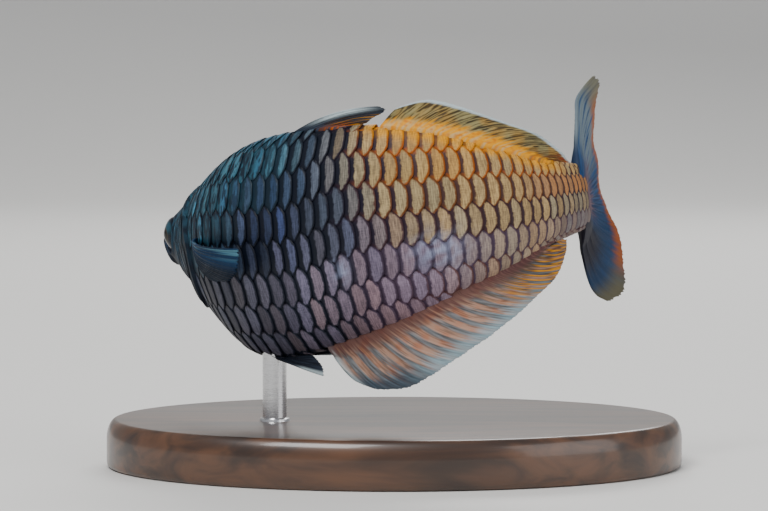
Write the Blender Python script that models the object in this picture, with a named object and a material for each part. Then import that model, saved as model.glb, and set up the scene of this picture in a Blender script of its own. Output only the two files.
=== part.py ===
"""A life-size rainbowfish in a tight turn to its right, held over an oval base by one rod.

Sizes are in millimetres and are scaled to metres when a mesh is made. A station is a share of the
body length, from 0 at the snout tip to 1 at the root of the tail fin. A turn is the angle round a
cross-section, from 0 on the back, by the left flank, to half a circle under the belly.
The fish heads along -X, its left flank faces -Y and +Z is up.
"""

import math

import bmesh
import bpy
import numpy as np
from mathutils import Euler, Matrix, Vector

MM = 0.001
GAP = 0.3

# Body, with the snout tip to the root of the tail fin as the driving size
BODY_LENGTH = 84.0
BACK = ((0, 1.2), (0.03, 3.1), (0.08, 5.3), (0.15, 7.3), (0.22, 9.9), (0.30, 12.5), (0.38, 14.2),
        (0.45, 14.9), (0.52, 15.1), (0.60, 14.8), (0.70, 13.2), (0.80, 10.1), (0.90, 6.9), (1.0, 5.2))
BELLY = ((0, 1.1), (0.03, 2.9), (0.08, 5.3), (0.15, 8.9), (0.22, 13.3), (0.30, 16.6), (0.38, 17.5),
         (0.45, 16.7), (0.52, 15.5), (0.60, 13.8), (0.70, 11.0), (0.80, 8.1), (0.90, 5.3), (1.0, 4.1))
HALF_WIDTH = ((0, 1.4), (0.03, 2.4), (0.08, 3.9), (0.14, 5.0), (0.22, 6.0), (0.30, 6.5), (0.40, 6.3),
              (0.50, 5.7), (0.60, 4.9), (0.70, 4.0), (0.80, 3.1), (0.90, 2.2), (1.0, 1.2))
BACK_KEEL = 1.2
BELLY_KEEL = ((0, 1.2), (0.10, 1.6), (0.18, 1.5), (0.27, 1.3), (0.42, 1.15), (1.0, 1.15))

# Turn of the spine, as headings of its tailward direction in degrees from +X towards +Y
HEADING = ((0, -65), (0.20, -63), (0.30, -55), (0.40, -41), (0.50, -33), (0.62, -18), (0.74, 5),
           (0.82, 24), (0.90, 37), (0.96, 48), (1.0, 61), (1.05, 73), (1.25, 78))
SPINE_STEPS = 480
SPINE_END = 1.40
PIVOT = 0.55

# Pose of the whole fish on its stand
NOSE_DOWN = 7.2
FISH_LIFT = 35.0
FISH_SHIFT = (-6.0, -14.0)

# Cuts between the lengths of the body
GILL_EDGE = ((0, 0.180), (50, 0.200), (95, 0.232), (130, 0.215), (160, 0.165), (180, 0.140))
HEAD_CORE = 0.17
HINDBODY_START = 0.595
STALK_START = 0.885
STALK_END_BULGE = 1.4
GILL_LIP = 0.6
GILL_LIP_REACH = 0.05

# Head
SNOUT_STATION = -0.006
SNOUT_SHARES = (0.45, 0.8)
MOUTH_TIP = (-2.0, 1.15)
MOUTH_FRONT = (0.0, 0.25)
MOUTH_CORNER = (5.0, -2.5)
CHIN = (8.2, -8.5)
WEDGE_SIDES = (-9.0, 9.0)
LIP_PROUD = 0.45
LIP_WIDTH = 0.7
EYE_STATION = 0.098
EYE_HEIGHT = 1.35
EYE_RADIUS = 2.65
EYE_DEPTH = 1.7
EYE_PROUD = 0.45
NOSTRILS = ((0.042, 2.05), (0.056, 2.75))
NOSTRIL_RADIUS = 0.36

# Tail fin. Spread is a ray's degrees out at its root and tip, for the outermost ray; length is by the
# share of the way from the middle ray to the outermost; side and turn bend the fin out of the
# spine's plane, by height.
TAIL_RAYS = 17
TAIL_STEPS = 7
TAIL_ROOT_HALF = 0.7
TAIL_ROOT_INSET = 0.5
TAIL_SPREAD = (60.0, 30.0)
TAIL_RAY_LENGTH = ((0, 10.5), (0.3, 11.8), (0.6, 16.0), (0.85, 19.4), (1.0, 18.0))
TAIL_SIDE = ((-15, -9.4), (-12, -5.8), (-9, -3.5), (-7, -2.4), (-5, -1.1), (-3, -0.25), (0, 0),
             (4, -0.1), (6.7, -0.45), (10.3, -1.15), (12.3, -1.8), (15, -3.4), (17.5, -3.1))
TAIL_TURN = ((-15, 0.68), (-12, 0.48), (-9, 0.36), (-7, 0.30), (-5, 0.21), (-2.5, 0.07), (0, 0),
             (6.7, 0), (10.3, 0.065), (12.3, 0.115), (15, 0.27), (17.5, 0.33))

# Fins on the back and under the tail. edge is 1 on the back and -1 under it. length, start and end
# run from the first ray (0) to the last (1); start and end are a ray's angles at its root and tip,
# in degrees out from straight back.
FIRST_DORSAL = {
    "rays": 6, "steps": 8, "edge": 1, "roots": (0.462, 0.560), "root_half": 0.6,
    "length": ((0, 14.5), (0.2, 13.5), (0.6, 8.0), (1, 3.4)),
    "start": ((0, 24), (1, 4)),
    "end": ((0, -6), (1, -3))}
SECOND_DORSAL = {
    "rays": 13, "steps": 6, "edge": 1, "roots": (0.628, 0.918), "root_half": 0.9,
    "length": ((0, 3.4), (0.1, 6.1), (0.3, 7.0), (0.58, 9.3), (0.8, 7.8), (1, 5.0)),
    "start": ((0, 50), (0.2, 34), (0.45, 18), (0.8, 4), (1, -4)),
    "end": ((0, 32), (0.25, 6), (0.5, -11), (1, -14))}
ANAL = {
    "rays": 20, "steps": 6, "edge": -1, "roots": (0.479, 0.905), "root_half": 0.9,
    "length": ((0, 6.2), (0.05, 8.9), (0.15, 10.9), (0.3, 10.4), (0.45, 10.1), (0.7, 9.25), (0.79, 8.6),
               (0.9, 6.1), (1, 3.1)),
    "start": ((0, 74), (0.2, 54), (0.5, 38), (0.8, 26), (1, 10)),
    "end": ((0, 36), (0.2, 22), (0.5, 10), (0.8, -4), (1, -16))}

# Fins at the sides. base is (station, height); root_way is how far the root runs rearwards,
# downwards and outwards; angle is degrees down from straight back, from the first ray to the last;
# flare is degrees out from the body at the root and the margin. Left fin first, then right.
PECTORAL = {
    "rays": 11, "steps": 6, "base": (0.262, 1.2), "root_way": (0.5, 2.6, 0.0),
    "length": ((0, 16.5), (0.25, 15.5), (0.6, 10.3), (1, 4.6)),
    "angle": (((0, 5), (1, 42)), ((0, 5), (1, 50))),
    "flare": ((42, 6), (50, 46))}
PELVIC = {
    "rays": 6, "steps": 7, "base": (0.355, -16.9), "root_way": (1.6, 0.3, -0.9),
    "length": ((0, 11.2), (0.3, 10.0), (1, 5.5)),
    "angle": (((0, 16), (1, -4)), ((0, 9), (1, -4))),
    "flare": ((10, 0), (14, 14))}
PAIRED_ROOT_HALF = 0.5
PAIRED_ROOT_SUNK = 0.2
GROWN = (0.15, 0.62)

# Half the thickness of a fin: on a ray and between rays at the root, and at the margin
RAY_HALF = 0.42
WEB_HALF = 0.26
MARGIN_HALF = 0.2
RAY_MARGIN_HALF = 0.26
WEB_REACH = 0.982
ROOT_THICK_SHARE = 0.31

# Stand: the base's edge as (share of its height, how far it's drawn in)
BASE_SIZE = (84.0, 56.0, 7.0)
BASE_EDGE = ((0, 0), (0.6, 0), (0.9, 0.3), (1.0, 0.9))
BASE_POINTS = 72
ROD_RADIUS = 1.75
ROD_STATION = 0.345
ROD_POINTS = 28
ROD_SUNK = 10.0

# Fineness of the solids
RING_POINTS = 44
HIND_RING_POINTS = 40
STALK_RING_POINTS = 32
HEAD_RINGS = 34
TRUNK_RING_STEP = 1.6
HIND_RING_STEP = 1.7
STALK_RING_STEP = 1.4
CAP_SHARES = (0.0, 0.4, 0.75)
SHARP_ANGLE = 40


def smooth_curve(points):
    """A function through (x, y) points that doesn't overshoot between them."""
    x, y = np.array(points, float).T
    step = np.diff(x)
    slope = np.diff(y) / step
    tangent = np.empty_like(y)
    tangent[0], tangent[-1] = slope[0], slope[-1]
    same_way = slope[:-1] * slope[1:] > 0
    total = np.where(same_way, slope[:-1] + slope[1:], 1)
    tangent[1:-1] = np.where(same_way, 2 * slope[:-1] * slope[1:] / total, 0)

    def value(at):
        at = np.clip(at, x[0], x[-1])
        i = np.clip(np.searchsorted(x, at, side="right") - 1, 0, len(step) - 1)
        t = (at - x[i]) / step[i]
        start = (1 + 2 * t) * y[i] + t * step[i] * tangent[i]
        end = (3 - 2 * t) * y[i + 1] + (t - 1) * step[i] * tangent[i + 1]
        return (1 - t) ** 2 * start + t**2 * end

    return value


back_height = smooth_curve(BACK)
belly_depth = smooth_curve(BELLY)
half_width = smooth_curve(HALF_WIDTH)
gill_edge = smooth_curve(GILL_EDGE)
tail_ray_length = smooth_curve(TAIL_RAY_LENGTH)
heading_degrees = smooth_curve(HEADING)
belly_keel = smooth_curve(BELLY_KEEL)
tail_side = smooth_curve(TAIL_SIDE)
tail_turn = smooth_curve(TAIL_TURN)


def smooth_step(value, low, high):
    t = np.clip((np.asarray(value, float) - low) / (high - low), 0, 1)
    return t * t * (3 - 2 * t)


def heading(station):
    """The spine's tailward direction, in radians from +X towards +Y."""
    return np.radians(heading_degrees(station))


SPINE_STATIONS = np.linspace(-0.1, SPINE_END, SPINE_STEPS)
SPINE_MIDDLES = (SPINE_STATIONS[1:] + SPINE_STATIONS[:-1]) / 2
SPINE_STEP = BODY_LENGTH * (SPINE_STATIONS[1] - SPINE_STATIONS[0])
SPINE_X = np.append(0, np.cumsum(SPINE_STEP * np.cos(heading(SPINE_MIDDLES))))
SPINE_Y = np.append(0, np.cumsum(SPINE_STEP * np.sin(heading(SPINE_MIDDLES))))


def place(station, side, height):
    """The point at a station, a distance to the left of the spine and a height over it."""
    values = (np.asarray(value, float) for value in (station, side, height))
    station, side, height = np.broadcast_arrays(*values)
    way = heading(station)
    x = np.interp(station, SPINE_STATIONS, SPINE_X) - np.interp(PIVOT, SPINE_STATIONS, SPINE_X)
    y = np.interp(station, SPINE_STATIONS, SPINE_Y) - np.interp(PIVOT, SPINE_STATIONS, SPINE_Y)
    return np.stack([x + side * np.sin(way), y - side * np.cos(way), height], axis=-1)


def section(station, turn):
    """(side, height) of the skin at a station and a turn."""
    up, out = np.cos(turn), np.sin(turn)
    keel = np.where(up > 0, BACK_KEEL, belly_keel(station))
    side = half_width(station) * np.sign(out) * np.abs(out) ** keel
    height = np.where(up > 0, back_height(station), belly_depth(station)) * up
    return side, height


def line_distance(point, start, end):
    """How far points lie from the straight line between two points."""
    start, way = np.array(start), np.subtract(end, start)
    along = np.clip((point - start) @ way / (way @ way), 0, 1)
    return np.linalg.norm(point - start - along[..., None] * way, axis=-1)


def head_section(station, turn):
    """The section with the lips and the raised rear edge of the gill cover."""
    side, height = section(station, turn)
    profile = np.stack([station * BODY_LENGTH, height], axis=-1)
    away = line_distance(profile, MOUTH_FRONT, MOUTH_CORNER)
    lip = LIP_PROUD * np.exp(-((away / LIP_WIDTH) ** 2))
    edge = gill_edge(np.degrees(np.abs(turn)))
    lip = lip + GILL_LIP * smooth_step(station, edge - GILL_LIP_REACH, edge) * np.abs(np.sin(turn))
    size = np.hypot(side, height) + 1e-9
    return side * (1 + lip / size), height * (1 + 0.4 * lip / size)


def turns(count):
    """Angles from the back, down the left flank, and up the right one."""
    return np.linspace(0, 2 * math.pi, count, endpoint=False)


def signed(turn):
    """The same turn between minus and plus half a circle."""
    return (turn + math.pi) % (2 * math.pi) - math.pi


def new_object(name, points, faces, material, smooth=True):
    """An object from points in millimetres."""
    mesh = bpy.data.meshes.new(name)
    mesh.from_pydata([tuple(p) for p in np.asarray(points) * MM], [], faces)
    build = bmesh.new()
    build.from_mesh(mesh)
    bmesh.ops.recalc_face_normals(build, faces=build.faces)
    build.to_mesh(mesh)
    build.free()
    if smooth:
        mesh.shade_smooth()
        mesh.set_sharp_from_angle(angle=math.radians(SHARP_ANGLE))
    mesh.materials.append(material)
    made = bpy.data.objects.new(name, mesh)
    bpy.context.scene.collection.objects.link(made)
    return made


def loft(name, rings, material):
    """A closed solid from rings of points whose first and last ring are each one repeated point."""
    count = rings.shape[1]
    inner = rings[1:-1].reshape(-1, 3)
    first, last = len(inner), len(inner) + 1
    faces = []
    for r in range(len(rings) - 3):
        for k in range(count):
            a, b = r * count + k, r * count + (k + 1) % count
            faces.append((a, b, b + count, a + count))
    base = (len(rings) - 3) * count
    for k in range(count):
        faces.append((first, (k + 1) % count, k))
        faces.append((base + k, base + (k + 1) % count, last))
    points = np.concatenate([inner, rings[:1, 0], rings[-1:, 0]])
    return new_object(name, points, faces, material)


def material(name, colour, roughness, metallic=0.0):
    made = bpy.data.materials.new(name)
    made.use_nodes = True
    shader = made.node_tree.nodes["Principled BSDF"]
    shader.inputs["Base Color"].default_value = (*colour, 1)
    shader.inputs["Roughness"].default_value = roughness
    shader.inputs["Metallic"].default_value = metallic
    made.diffuse_color = (*colour, 1)
    return made


def cap_rings(edge, core, turn, shape, shares):
    """Rings inside a cut face, from its rim inwards, that follow the cut's curve to its core."""
    rings = []
    for share in shares:
        station = core + (edge - core) * share**2
        side, height = shape(station, turn)
        rings.append(place(station, side * share, height * share))
    return rings


def body_length(name, start, end, start_core, end_core, ring_step, count, shape, material):
    """A length of the body between two cuts; start and end are stations, one for each turn."""
    turn = signed(turns(count))
    start, end = (np.broadcast_to(np.asarray(v, float), turn.shape) for v in (start, end))
    steps = max(2, round(BODY_LENGTH * float(np.mean(end - start)) / ring_step))
    rings = cap_rings(start, start_core, turn, shape, CAP_SHARES)
    for share in np.linspace(0, 1, steps + 1):
        station = start + (end - start) * share
        rings.append(place(station, *shape(station, turn)))
    rings += cap_rings(end, end_core, turn, shape, CAP_SHARES[::-1])
    return loft(name, np.array(rings), material)


def make_head(skin):
    """The head up to the edge of the gill covers, closed in front by the snout."""
    turn = signed(turns(RING_POINTS))
    edge = gill_edge(np.degrees(np.abs(turn)))
    rings = [place(np.full_like(turn, SNOUT_STATION), 0 * turn, 0 * turn)]
    for share in SNOUT_SHARES:
        side, height = section(np.zeros_like(turn), turn)
        station = np.full_like(turn, SNOUT_STATION * (1 - share**2))
        rings.append(place(station, side * share, height * share))
    for share in np.linspace(0, 1, HEAD_RINGS) ** 1.25:
        station = edge * share
        rings.append(place(station, *head_section(station, turn)))
    rings += cap_rings(edge, HEAD_CORE, turn, head_section, CAP_SHARES[::-1])
    return loft("head", np.array(rings), skin)


def wedge(name, grow, shade):
    """The prism under the mouth line that holds the lower jaw, grown by a gap."""
    tip, corner, chin = (np.array(p) for p in (MOUTH_TIP, MOUTH_CORNER, CHIN))
    outline = [tip + (0, grow), corner + (1.3 * grow, 0.9 * grow), chin + (1.3 * grow, 0),
               (MOUTH_TIP[0], CHIN[1])]
    points = [place(x / BODY_LENGTH, side, z) for side in WEDGE_SIDES for x, z in outline]
    faces = [(0, 1, 2, 3), (7, 6, 5, 4)]
    faces += [(k, (k + 1) % 4, (k + 1) % 4 + 4, k + 4) for k in range(4)]
    return helper(new_object(name, points, faces, shade, smooth=False))


def helper(thing):
    """Marks a cutter, which isn't part of the model."""
    thing.hide_render = True
    thing.display_type = "WIRE"
    return thing


def boolean(thing, other, operation):
    cut = thing.modifiers.new(f"{operation.lower()} {other.name}", "BOOLEAN")
    cut.operation = operation
    cut.object = other


def ball(name, centre, radii, way, material, segments=20, rings=12):
    """An ellipsoid with its third radius along a direction in the XY plane."""
    made = bmesh.new()
    bmesh.ops.create_uvsphere(made, u_segments=segments, v_segments=rings, radius=1)
    turn = Vector(way).to_track_quat("Z", "Y").to_matrix().to_4x4()
    size = Matrix.Diagonal((*(r * MM for r in radii), 1))
    made.transform(Matrix.Translation(Vector(centre) * MM) @ turn @ size)
    mesh = bpy.data.meshes.new(name)
    made.to_mesh(mesh)
    made.free()
    mesh.shade_smooth()
    mesh.materials.append(material)
    thing = bpy.data.objects.new(name, mesh)
    bpy.context.scene.collection.objects.link(thing)
    return thing


def flank_side(station, height):
    """Half the body's width at a height over or under the spine."""
    top = back_height(station) if height > 0 else belly_depth(station)
    keel = BACK_KEEL if height > 0 else belly_keel(station)
    return float(half_width(station) * (1 - (height / top) ** 2) ** (keel / 2))


def outward(station, hand):
    """The direction straight out of the flank, which turns forwards where the head narrows."""
    widening = half_width(station + 0.02) - half_width(station - 0.02)
    way = float(heading(station)) - hand * math.atan2(float(widening), 0.04 * BODY_LENGTH)
    return Vector((hand * math.sin(way), -hand * math.cos(way), 0))


def make_eyes(head, black, shade):
    for hand, word in ((1, "left"), (-1, "right")):
        side = flank_side(EYE_STATION, EYE_HEIGHT) + EYE_PROUD - EYE_DEPTH
        centre = place(EYE_STATION, hand * side, EYE_HEIGHT)
        way = outward(EYE_STATION, hand)
        socket = [EYE_RADIUS + GAP, EYE_RADIUS + GAP, EYE_DEPTH + GAP]
        boolean(head, helper(ball(f"socket_{word}", centre, socket, way, shade)), "DIFFERENCE")
        ball(f"eye_{word}", centre, [EYE_RADIUS, EYE_RADIUS, EYE_DEPTH], way, black)


def make_nostrils(head, shade):
    for hand, word in ((1, "left"), (-1, "right")):
        for number, (station, height) in enumerate(NOSTRILS):
            centre = place(station, hand * (flank_side(station, height) + 0.05), height)
            radii = [NOSTRIL_RADIUS] * 3
            pit = ball(f"nostril_{word}_{number}", centre, radii, outward(station, hand), shade, 8, 6)
            boolean(head, helper(pit), "DIFFERENCE")


def ray_path(length, start, end, share):
    """Rearward and outward travel along a ray that bends evenly from one angle to another."""
    bend = np.where(np.abs(end - start) < 0.001, 0.001, end - start)
    angle = start + bend * share
    rear = length * (np.sin(angle) - np.sin(start)) / bend
    out = -length * (np.cos(angle) - np.cos(start)) / bend
    return rear, out


def fin(name, rays, steps, centre, root_half, material):
    """A fin of membrane with a ridge along each ray. centre(ray, share) is a point of its middle
    surface, with ray from 0 to rays - 1 and share from 0 at the root to 1 at the margin."""
    columns = np.arange(2 * rays - 1) / 2
    is_ray = np.arange(2 * rays - 1) % 2 == 0
    shares = np.linspace(0, 1, steps + 1)
    ray_grid, share_grid = np.meshgrid(columns, shares, indexing="ij")
    reach = np.where(is_ray, 1.0, WEB_REACH)[:, None]
    middle = centre(ray_grid, share_grid * reach)
    along = np.gradient(middle, axis=1)
    across = np.gradient(middle, axis=0)
    normal = np.cross(along, across)
    normal /= np.linalg.norm(normal, axis=-1, keepdims=True) + 1e-12
    half_inside = np.where(is_ray, RAY_HALF, WEB_HALF)[:, None]
    half_outside = np.where(is_ray, RAY_MARGIN_HALF, MARGIN_HALF)[:, None]
    half = half_inside * (1 - share_grid) + half_outside * share_grid
    half = np.maximum(half, root_half * np.clip(1 - share_grid / ROOT_THICK_SHARE, 0, 1))
    upper, lower = middle + normal * half[..., None], middle - normal * half[..., None]
    points = np.concatenate([upper.reshape(-1, 3), lower.reshape(-1, 3)])
    nc, ns = ray_grid.shape
    index = np.arange(nc * ns).reshape(nc, ns)
    other = nc * ns
    faces = []
    for c in range(nc - 1):
        for s in range(ns - 1):
            a, b, d, e = index[c, s], index[c + 1, s], index[c + 1, s + 1], index[c, s + 1]
            faces += [(a, b, d), (a, d, e)]
            faces += [(other + a, other + d, other + b), (other + a, other + e, other + d)]
    rim = [index[c, 0] for c in range(nc)] + [index[-1, s] for s in range(1, ns)]
    rim += [index[c, -1] for c in range(nc - 2, -1, -1)] + [index[0, s] for s in range(ns - 2, 0, -1)]
    for a, b in zip(rim, rim[1:] + rim[:1]):
        faces += [(a, other + a, other + b), (a, other + b, b)]
    return new_object(name, points, [tuple(int(i) for i in f) for f in faces], material)


def median_fin(name, shape, material):
    """A fin on the back or under the belly, in the plane of the bent body."""
    profile = back_height if shape["edge"] > 0 else belly_depth
    length, start, end = (smooth_curve(shape[key]) for key in ("length", "start", "end"))
    first, last = shape["roots"]

    def centre(ray, share):
        u = ray / (shape["rays"] - 1)
        root = first + (last - first) * u
        rear, out = ray_path(length(u), np.radians(start(u)), np.radians(end(u)), share)
        return place(root + rear / BODY_LENGTH, 0, shape["edge"] * (profile(root) + GAP + out))

    return fin(name, shape["rays"], shape["steps"], centre, shape["root_half"], material)


def tail_fin(material):
    def centre(ray, share):
        across = 1 - 2 * ray / (TAIL_RAYS - 1)
        tall = np.where(across > 0, back_height(1.0), belly_depth(1.0))
        across_root = across * (1 - TAIL_ROOT_INSET / tall)
        root = 1.0 + (GAP - STALK_END_BULGE * across_root**2) / BODY_LENGTH
        length = tail_ray_length(np.abs(across))
        start, end = (np.radians(spread * across) for spread in TAIL_SPREAD)
        rear, out = ray_path(length, start, end, share)
        station = root + rear / BODY_LENGTH
        height = across_root * tall + out
        return place(station, tail_side(height) + tail_turn(height) * rear, height)

    return fin("tail_fin", TAIL_RAYS, TAIL_STEPS, centre, TAIL_ROOT_HALF, material)


def paired_fin(name, hand, shape, material):
    """A fin at the left (hand 1) or right (hand -1) side of the body."""
    station, height = shape["base"]
    rearwards, downwards, outwards = shape["root_way"]
    way = float(heading(station))
    rear = np.array([math.cos(way), math.sin(way), 0])
    side = np.array([hand * math.sin(way), -hand * math.cos(way), 0])
    up = np.array([0, 0, 1.0])
    start = place(station, hand * (flank_side(station, height) - PAIRED_ROOT_SUNK), height)
    lengths, angles = smooth_curve(shape["length"]), smooth_curve(shape["angle"][hand < 0])
    root_flare, margin_flare = shape["flare"][hand < 0]

    def centre(ray, share):
        u = ray / (shape["rays"] - 1)
        root = start + u[..., None] * (rearwards * rear - downwards * up + outwards * side)
        angle = np.radians(angles(u))
        flare = np.radians(root_flare + (margin_flare - root_flare) * share)
        length = (lengths(u) * share)[..., None]
        ahead = (np.cos(angle) * np.cos(flare))[..., None] * rear
        down = (np.sin(angle) * np.cos(flare))[..., None] * up
        return root + length * (ahead - down + np.sin(flare)[..., None] * side)

    return fin(name, shape["rays"], shape["steps"], centre, PAIRED_ROOT_HALF, material)


def make_fins(colours, body):
    median_fin("first_dorsal_fin", FIRST_DORSAL, colours["first_dorsal"])
    median_fin("second_dorsal_fin", SECOND_DORSAL, colours["second_dorsal"])
    median_fin("anal_fin", ANAL, colours["anal"])
    tail_fin(colours["tail"])
    for hand, word in ((1, "left"), (-1, "right")):
        breast = paired_fin(f"pectoral_fin_{word}", hand, PECTORAL, colours["pectoral"])
        belly = paired_fin(f"pelvic_fin_{word}", hand, PELVIC, colours["pelvic"])
        boolean(breast, body, "DIFFERENCE")
        boolean(belly, body, "DIFFERENCE")


def grown(station, turn):
    """The section of the body, larger by a gap all round."""
    side, height = section(station, turn)
    size = np.hypot(side, height) + 1e-9
    return side * (1 + GAP / size), height * (1 + GAP / size)


def make_base(wood):
    points = []
    for up, drawn_in in BASE_EDGE:
        for angle in turns(BASE_POINTS):
            x = (BASE_SIZE[0] / 2 - drawn_in) * math.cos(angle)
            y = (BASE_SIZE[1] / 2 - drawn_in) * math.sin(angle)
            points.append((x, y, BASE_SIZE[2] * up))
    top = BASE_POINTS * (len(BASE_EDGE) - 1)
    faces = [tuple(range(BASE_POINTS - 1, -1, -1)), tuple(range(top, top + BASE_POINTS))]
    for ring in range(0, top, BASE_POINTS):
        for k in range(BASE_POINTS):
            a, b = ring + k, ring + (k + 1) % BASE_POINTS
            faces.append((a, b, b + BASE_POINTS, a + BASE_POINTS))
    return new_object("stand_base", points, faces, wood)


def make_rod(body, steel):
    """The rod, from the base's top into the belly, with the body cut out of it."""
    down = math.radians(NOSE_DOWN)
    foot = place(ROD_STATION, 0, 0)
    x = foot[0] * math.cos(down) + belly_depth(ROD_STATION) * math.sin(down) + FISH_SHIFT[0]
    y = foot[1] + FISH_SHIFT[1]
    low, high = BASE_SIZE[2], FISH_LIFT - ROD_SUNK
    rings = []
    for height, radius in ((low, 0), (low, ROD_RADIUS), (high, ROD_RADIUS), (high, 0)):
        around = turns(ROD_POINTS)
        rings.append([(x + radius * math.cos(a), y + radius * math.sin(a), height) for a in around])
    rod = loft("stand_rod", np.array(rings), steel)
    boolean(rod, body, "DIFFERENCE")


def main():
    for thing in list(bpy.data.objects):
        bpy.data.objects.remove(thing, do_unlink=True)
    blue = material("blue skin", (0.05, 0.11, 0.17), 0.35)
    flank = material("flank skin", (0.24, 0.19, 0.18), 0.35)
    orange = material("orange skin", (0.50, 0.25, 0.07), 0.35)
    black = material("eye", (0.02, 0.02, 0.03), 0.08)
    colours = {"first_dorsal": material("first dorsal fin", (0.10, 0.13, 0.15), 0.4),
               "second_dorsal": material("second dorsal fin", (0.55, 0.28, 0.08), 0.4),
               "anal": material("anal fin", (0.50, 0.22, 0.12), 0.4),
               "tail": material("tail fin", (0.16, 0.17, 0.24), 0.4),
               "pectoral": material("pectoral fin", (0.15, 0.24, 0.30), 0.4),
               "pelvic": material("pelvic fin", (0.03, 0.03, 0.04), 0.4)}
    edge = gill_edge(np.degrees(np.abs(signed(turns(RING_POINTS)))))
    gap = GAP / BODY_LENGTH
    head = make_head(blue)
    make_eyes(head, black, blue)
    make_nostrils(head, blue)
    jaw = make_head(blue)
    jaw.name = "lower_jaw"
    boolean(jaw, wedge("jaw_block", 0, blue), "INTERSECT")
    boolean(head, wedge("jaw_room", GAP, blue), "DIFFERENCE")
    end = HINDBODY_START - gap
    body_length("trunk", edge + gap, end, HEAD_CORE + gap, end,
                TRUNK_RING_STEP, RING_POINTS, section, flank)
    start, end = HINDBODY_START, STALK_START - gap
    body_length("hindbody", start, end, start, end, HIND_RING_STEP, HIND_RING_POINTS, section, orange)
    end = 1.0 - STALK_END_BULGE / BODY_LENGTH * np.cos(signed(turns(STALK_RING_POINTS))) ** 2
    body_length("tail_stalk", STALK_START, end, STALK_START, 1.0,
                STALK_RING_STEP, STALK_RING_POINTS, section, orange)
    body = helper(body_length("grown_trunk", *GROWN, *GROWN, TRUNK_RING_STEP, RING_POINTS, grown, blue))
    make_fins(colours, body)
    pose = bpy.data.objects.new("fish_pose", None)
    bpy.context.scene.collection.objects.link(pose)
    pose.location = Vector((*FISH_SHIFT, FISH_LIFT)) * MM
    pose.rotation_euler = Euler((0, -math.radians(NOSE_DOWN), 0))
    for thing in bpy.data.objects:
        if thing is not pose:
            thing.parent = pose
    make_base(material("stand wood", (0.05, 0.03, 0.02), 0.4))
    make_rod(body, material("steel", (0.6, 0.6, 0.6), 0.3, 1.0))


main()
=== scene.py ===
"""The looks of a life-size rainbowfish on its stand: skin, scales, fins, eyes, paint and light.

Sizes are in millimetres and are scaled to metres when a mesh is made. A station is a share of the
body length, from 0 at the snout tip to 1 at the root of the tail fin. A turn is the angle round a
cross-section, from 0 on the back, by the left flank, to half a circle under the belly. A level is a
height over the spine as a share of the back's, or under it of the belly's, as a minus.
"""

import math

import bpy
import numpy as np
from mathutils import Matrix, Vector


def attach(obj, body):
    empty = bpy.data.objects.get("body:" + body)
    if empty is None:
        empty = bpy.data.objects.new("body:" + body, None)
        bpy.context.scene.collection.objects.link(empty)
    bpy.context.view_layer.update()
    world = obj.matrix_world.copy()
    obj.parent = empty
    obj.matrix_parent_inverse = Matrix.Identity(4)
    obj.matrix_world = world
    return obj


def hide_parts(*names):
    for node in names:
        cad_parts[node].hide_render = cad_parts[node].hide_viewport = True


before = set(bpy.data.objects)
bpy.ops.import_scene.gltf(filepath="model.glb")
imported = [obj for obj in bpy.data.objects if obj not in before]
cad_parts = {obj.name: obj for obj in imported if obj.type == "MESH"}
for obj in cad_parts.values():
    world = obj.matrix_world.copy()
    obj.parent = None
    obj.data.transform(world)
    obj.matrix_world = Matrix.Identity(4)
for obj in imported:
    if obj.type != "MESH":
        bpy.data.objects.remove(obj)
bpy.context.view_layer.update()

MM = 0.001

# Camera
LENS = 150.0
SENSOR = 36.0
LOOK_AT = (-1.5, -14.0, 31.7)
LOOK_FROM = 452.0
LOOK_DOWN = 4.0

# Curves


def smooth_curve(points):
    """A function through (x, y) points that doesn't overshoot between them."""
    x, y = np.array(points, float).T
    step = np.diff(x)
    slope = np.diff(y) / step
    tangent = np.empty_like(y)
    tangent[0], tangent[-1] = slope[0], slope[-1]
    same_way = slope[:-1] * slope[1:] > 0
    total = np.where(same_way, slope[:-1] + slope[1:], 1)
    tangent[1:-1] = np.where(same_way, 2 * slope[:-1] * slope[1:] / total, 0)

    def value(at):
        at = np.clip(at, x[0], x[-1])
        i = np.clip(np.searchsorted(x, at, side="right") - 1, 0, len(step) - 1)
        t = (at - x[i]) / step[i]
        start = (1 + 2 * t) * y[i] + t * step[i] * tangent[i]
        end = (3 - 2 * t) * y[i + 1] + (t - 1) * step[i] * tangent[i + 1]
        return (1 - t) ** 2 * start + t**2 * end

    return value


# Body, as in the solids
BODY_LENGTH = 84.0
back_height = smooth_curve((
    (0, 1.2), (0.03, 3.1), (0.08, 5.3), (0.15, 7.3), (0.22, 9.9), (0.30, 12.5), (0.38, 14.2),
    (0.45, 14.9), (0.52, 15.1), (0.60, 14.8), (0.70, 13.2), (0.80, 10.1), (0.90, 6.9), (1.0, 5.2)))
belly_depth = smooth_curve((
    (0, 1.1), (0.03, 2.9), (0.08, 5.3), (0.15, 8.9), (0.22, 13.3), (0.30, 16.6), (0.38, 17.5),
    (0.45, 16.7), (0.52, 15.5), (0.60, 13.8), (0.70, 11.0), (0.80, 8.1), (0.90, 5.3), (1.0, 4.1)))
half_width = smooth_curve((
    (0, 1.4), (0.03, 2.4), (0.08, 3.9), (0.14, 5.0), (0.22, 6.0), (0.30, 6.5), (0.40, 6.3), (0.50, 5.7),
    (0.60, 4.9), (0.70, 4.0), (0.80, 3.1), (0.90, 2.2), (1.0, 1.2)))
BACK_KEEL = 1.2
belly_keel = smooth_curve(((0, 1.2), (0.10, 1.6), (0.18, 1.5), (0.27, 1.3), (0.42, 1.15), (1.0, 1.15)))
heading_degrees = smooth_curve((
    (0, -65), (0.20, -63), (0.30, -55), (0.40, -41), (0.50, -33), (0.62, -18), (0.74, 5), (0.82, 24),
    (0.90, 37), (0.96, 48), (1.0, 61), (1.05, 73), (1.25, 78)))
SPINE_STEPS = 480
SPINE_END = 1.40
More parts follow.
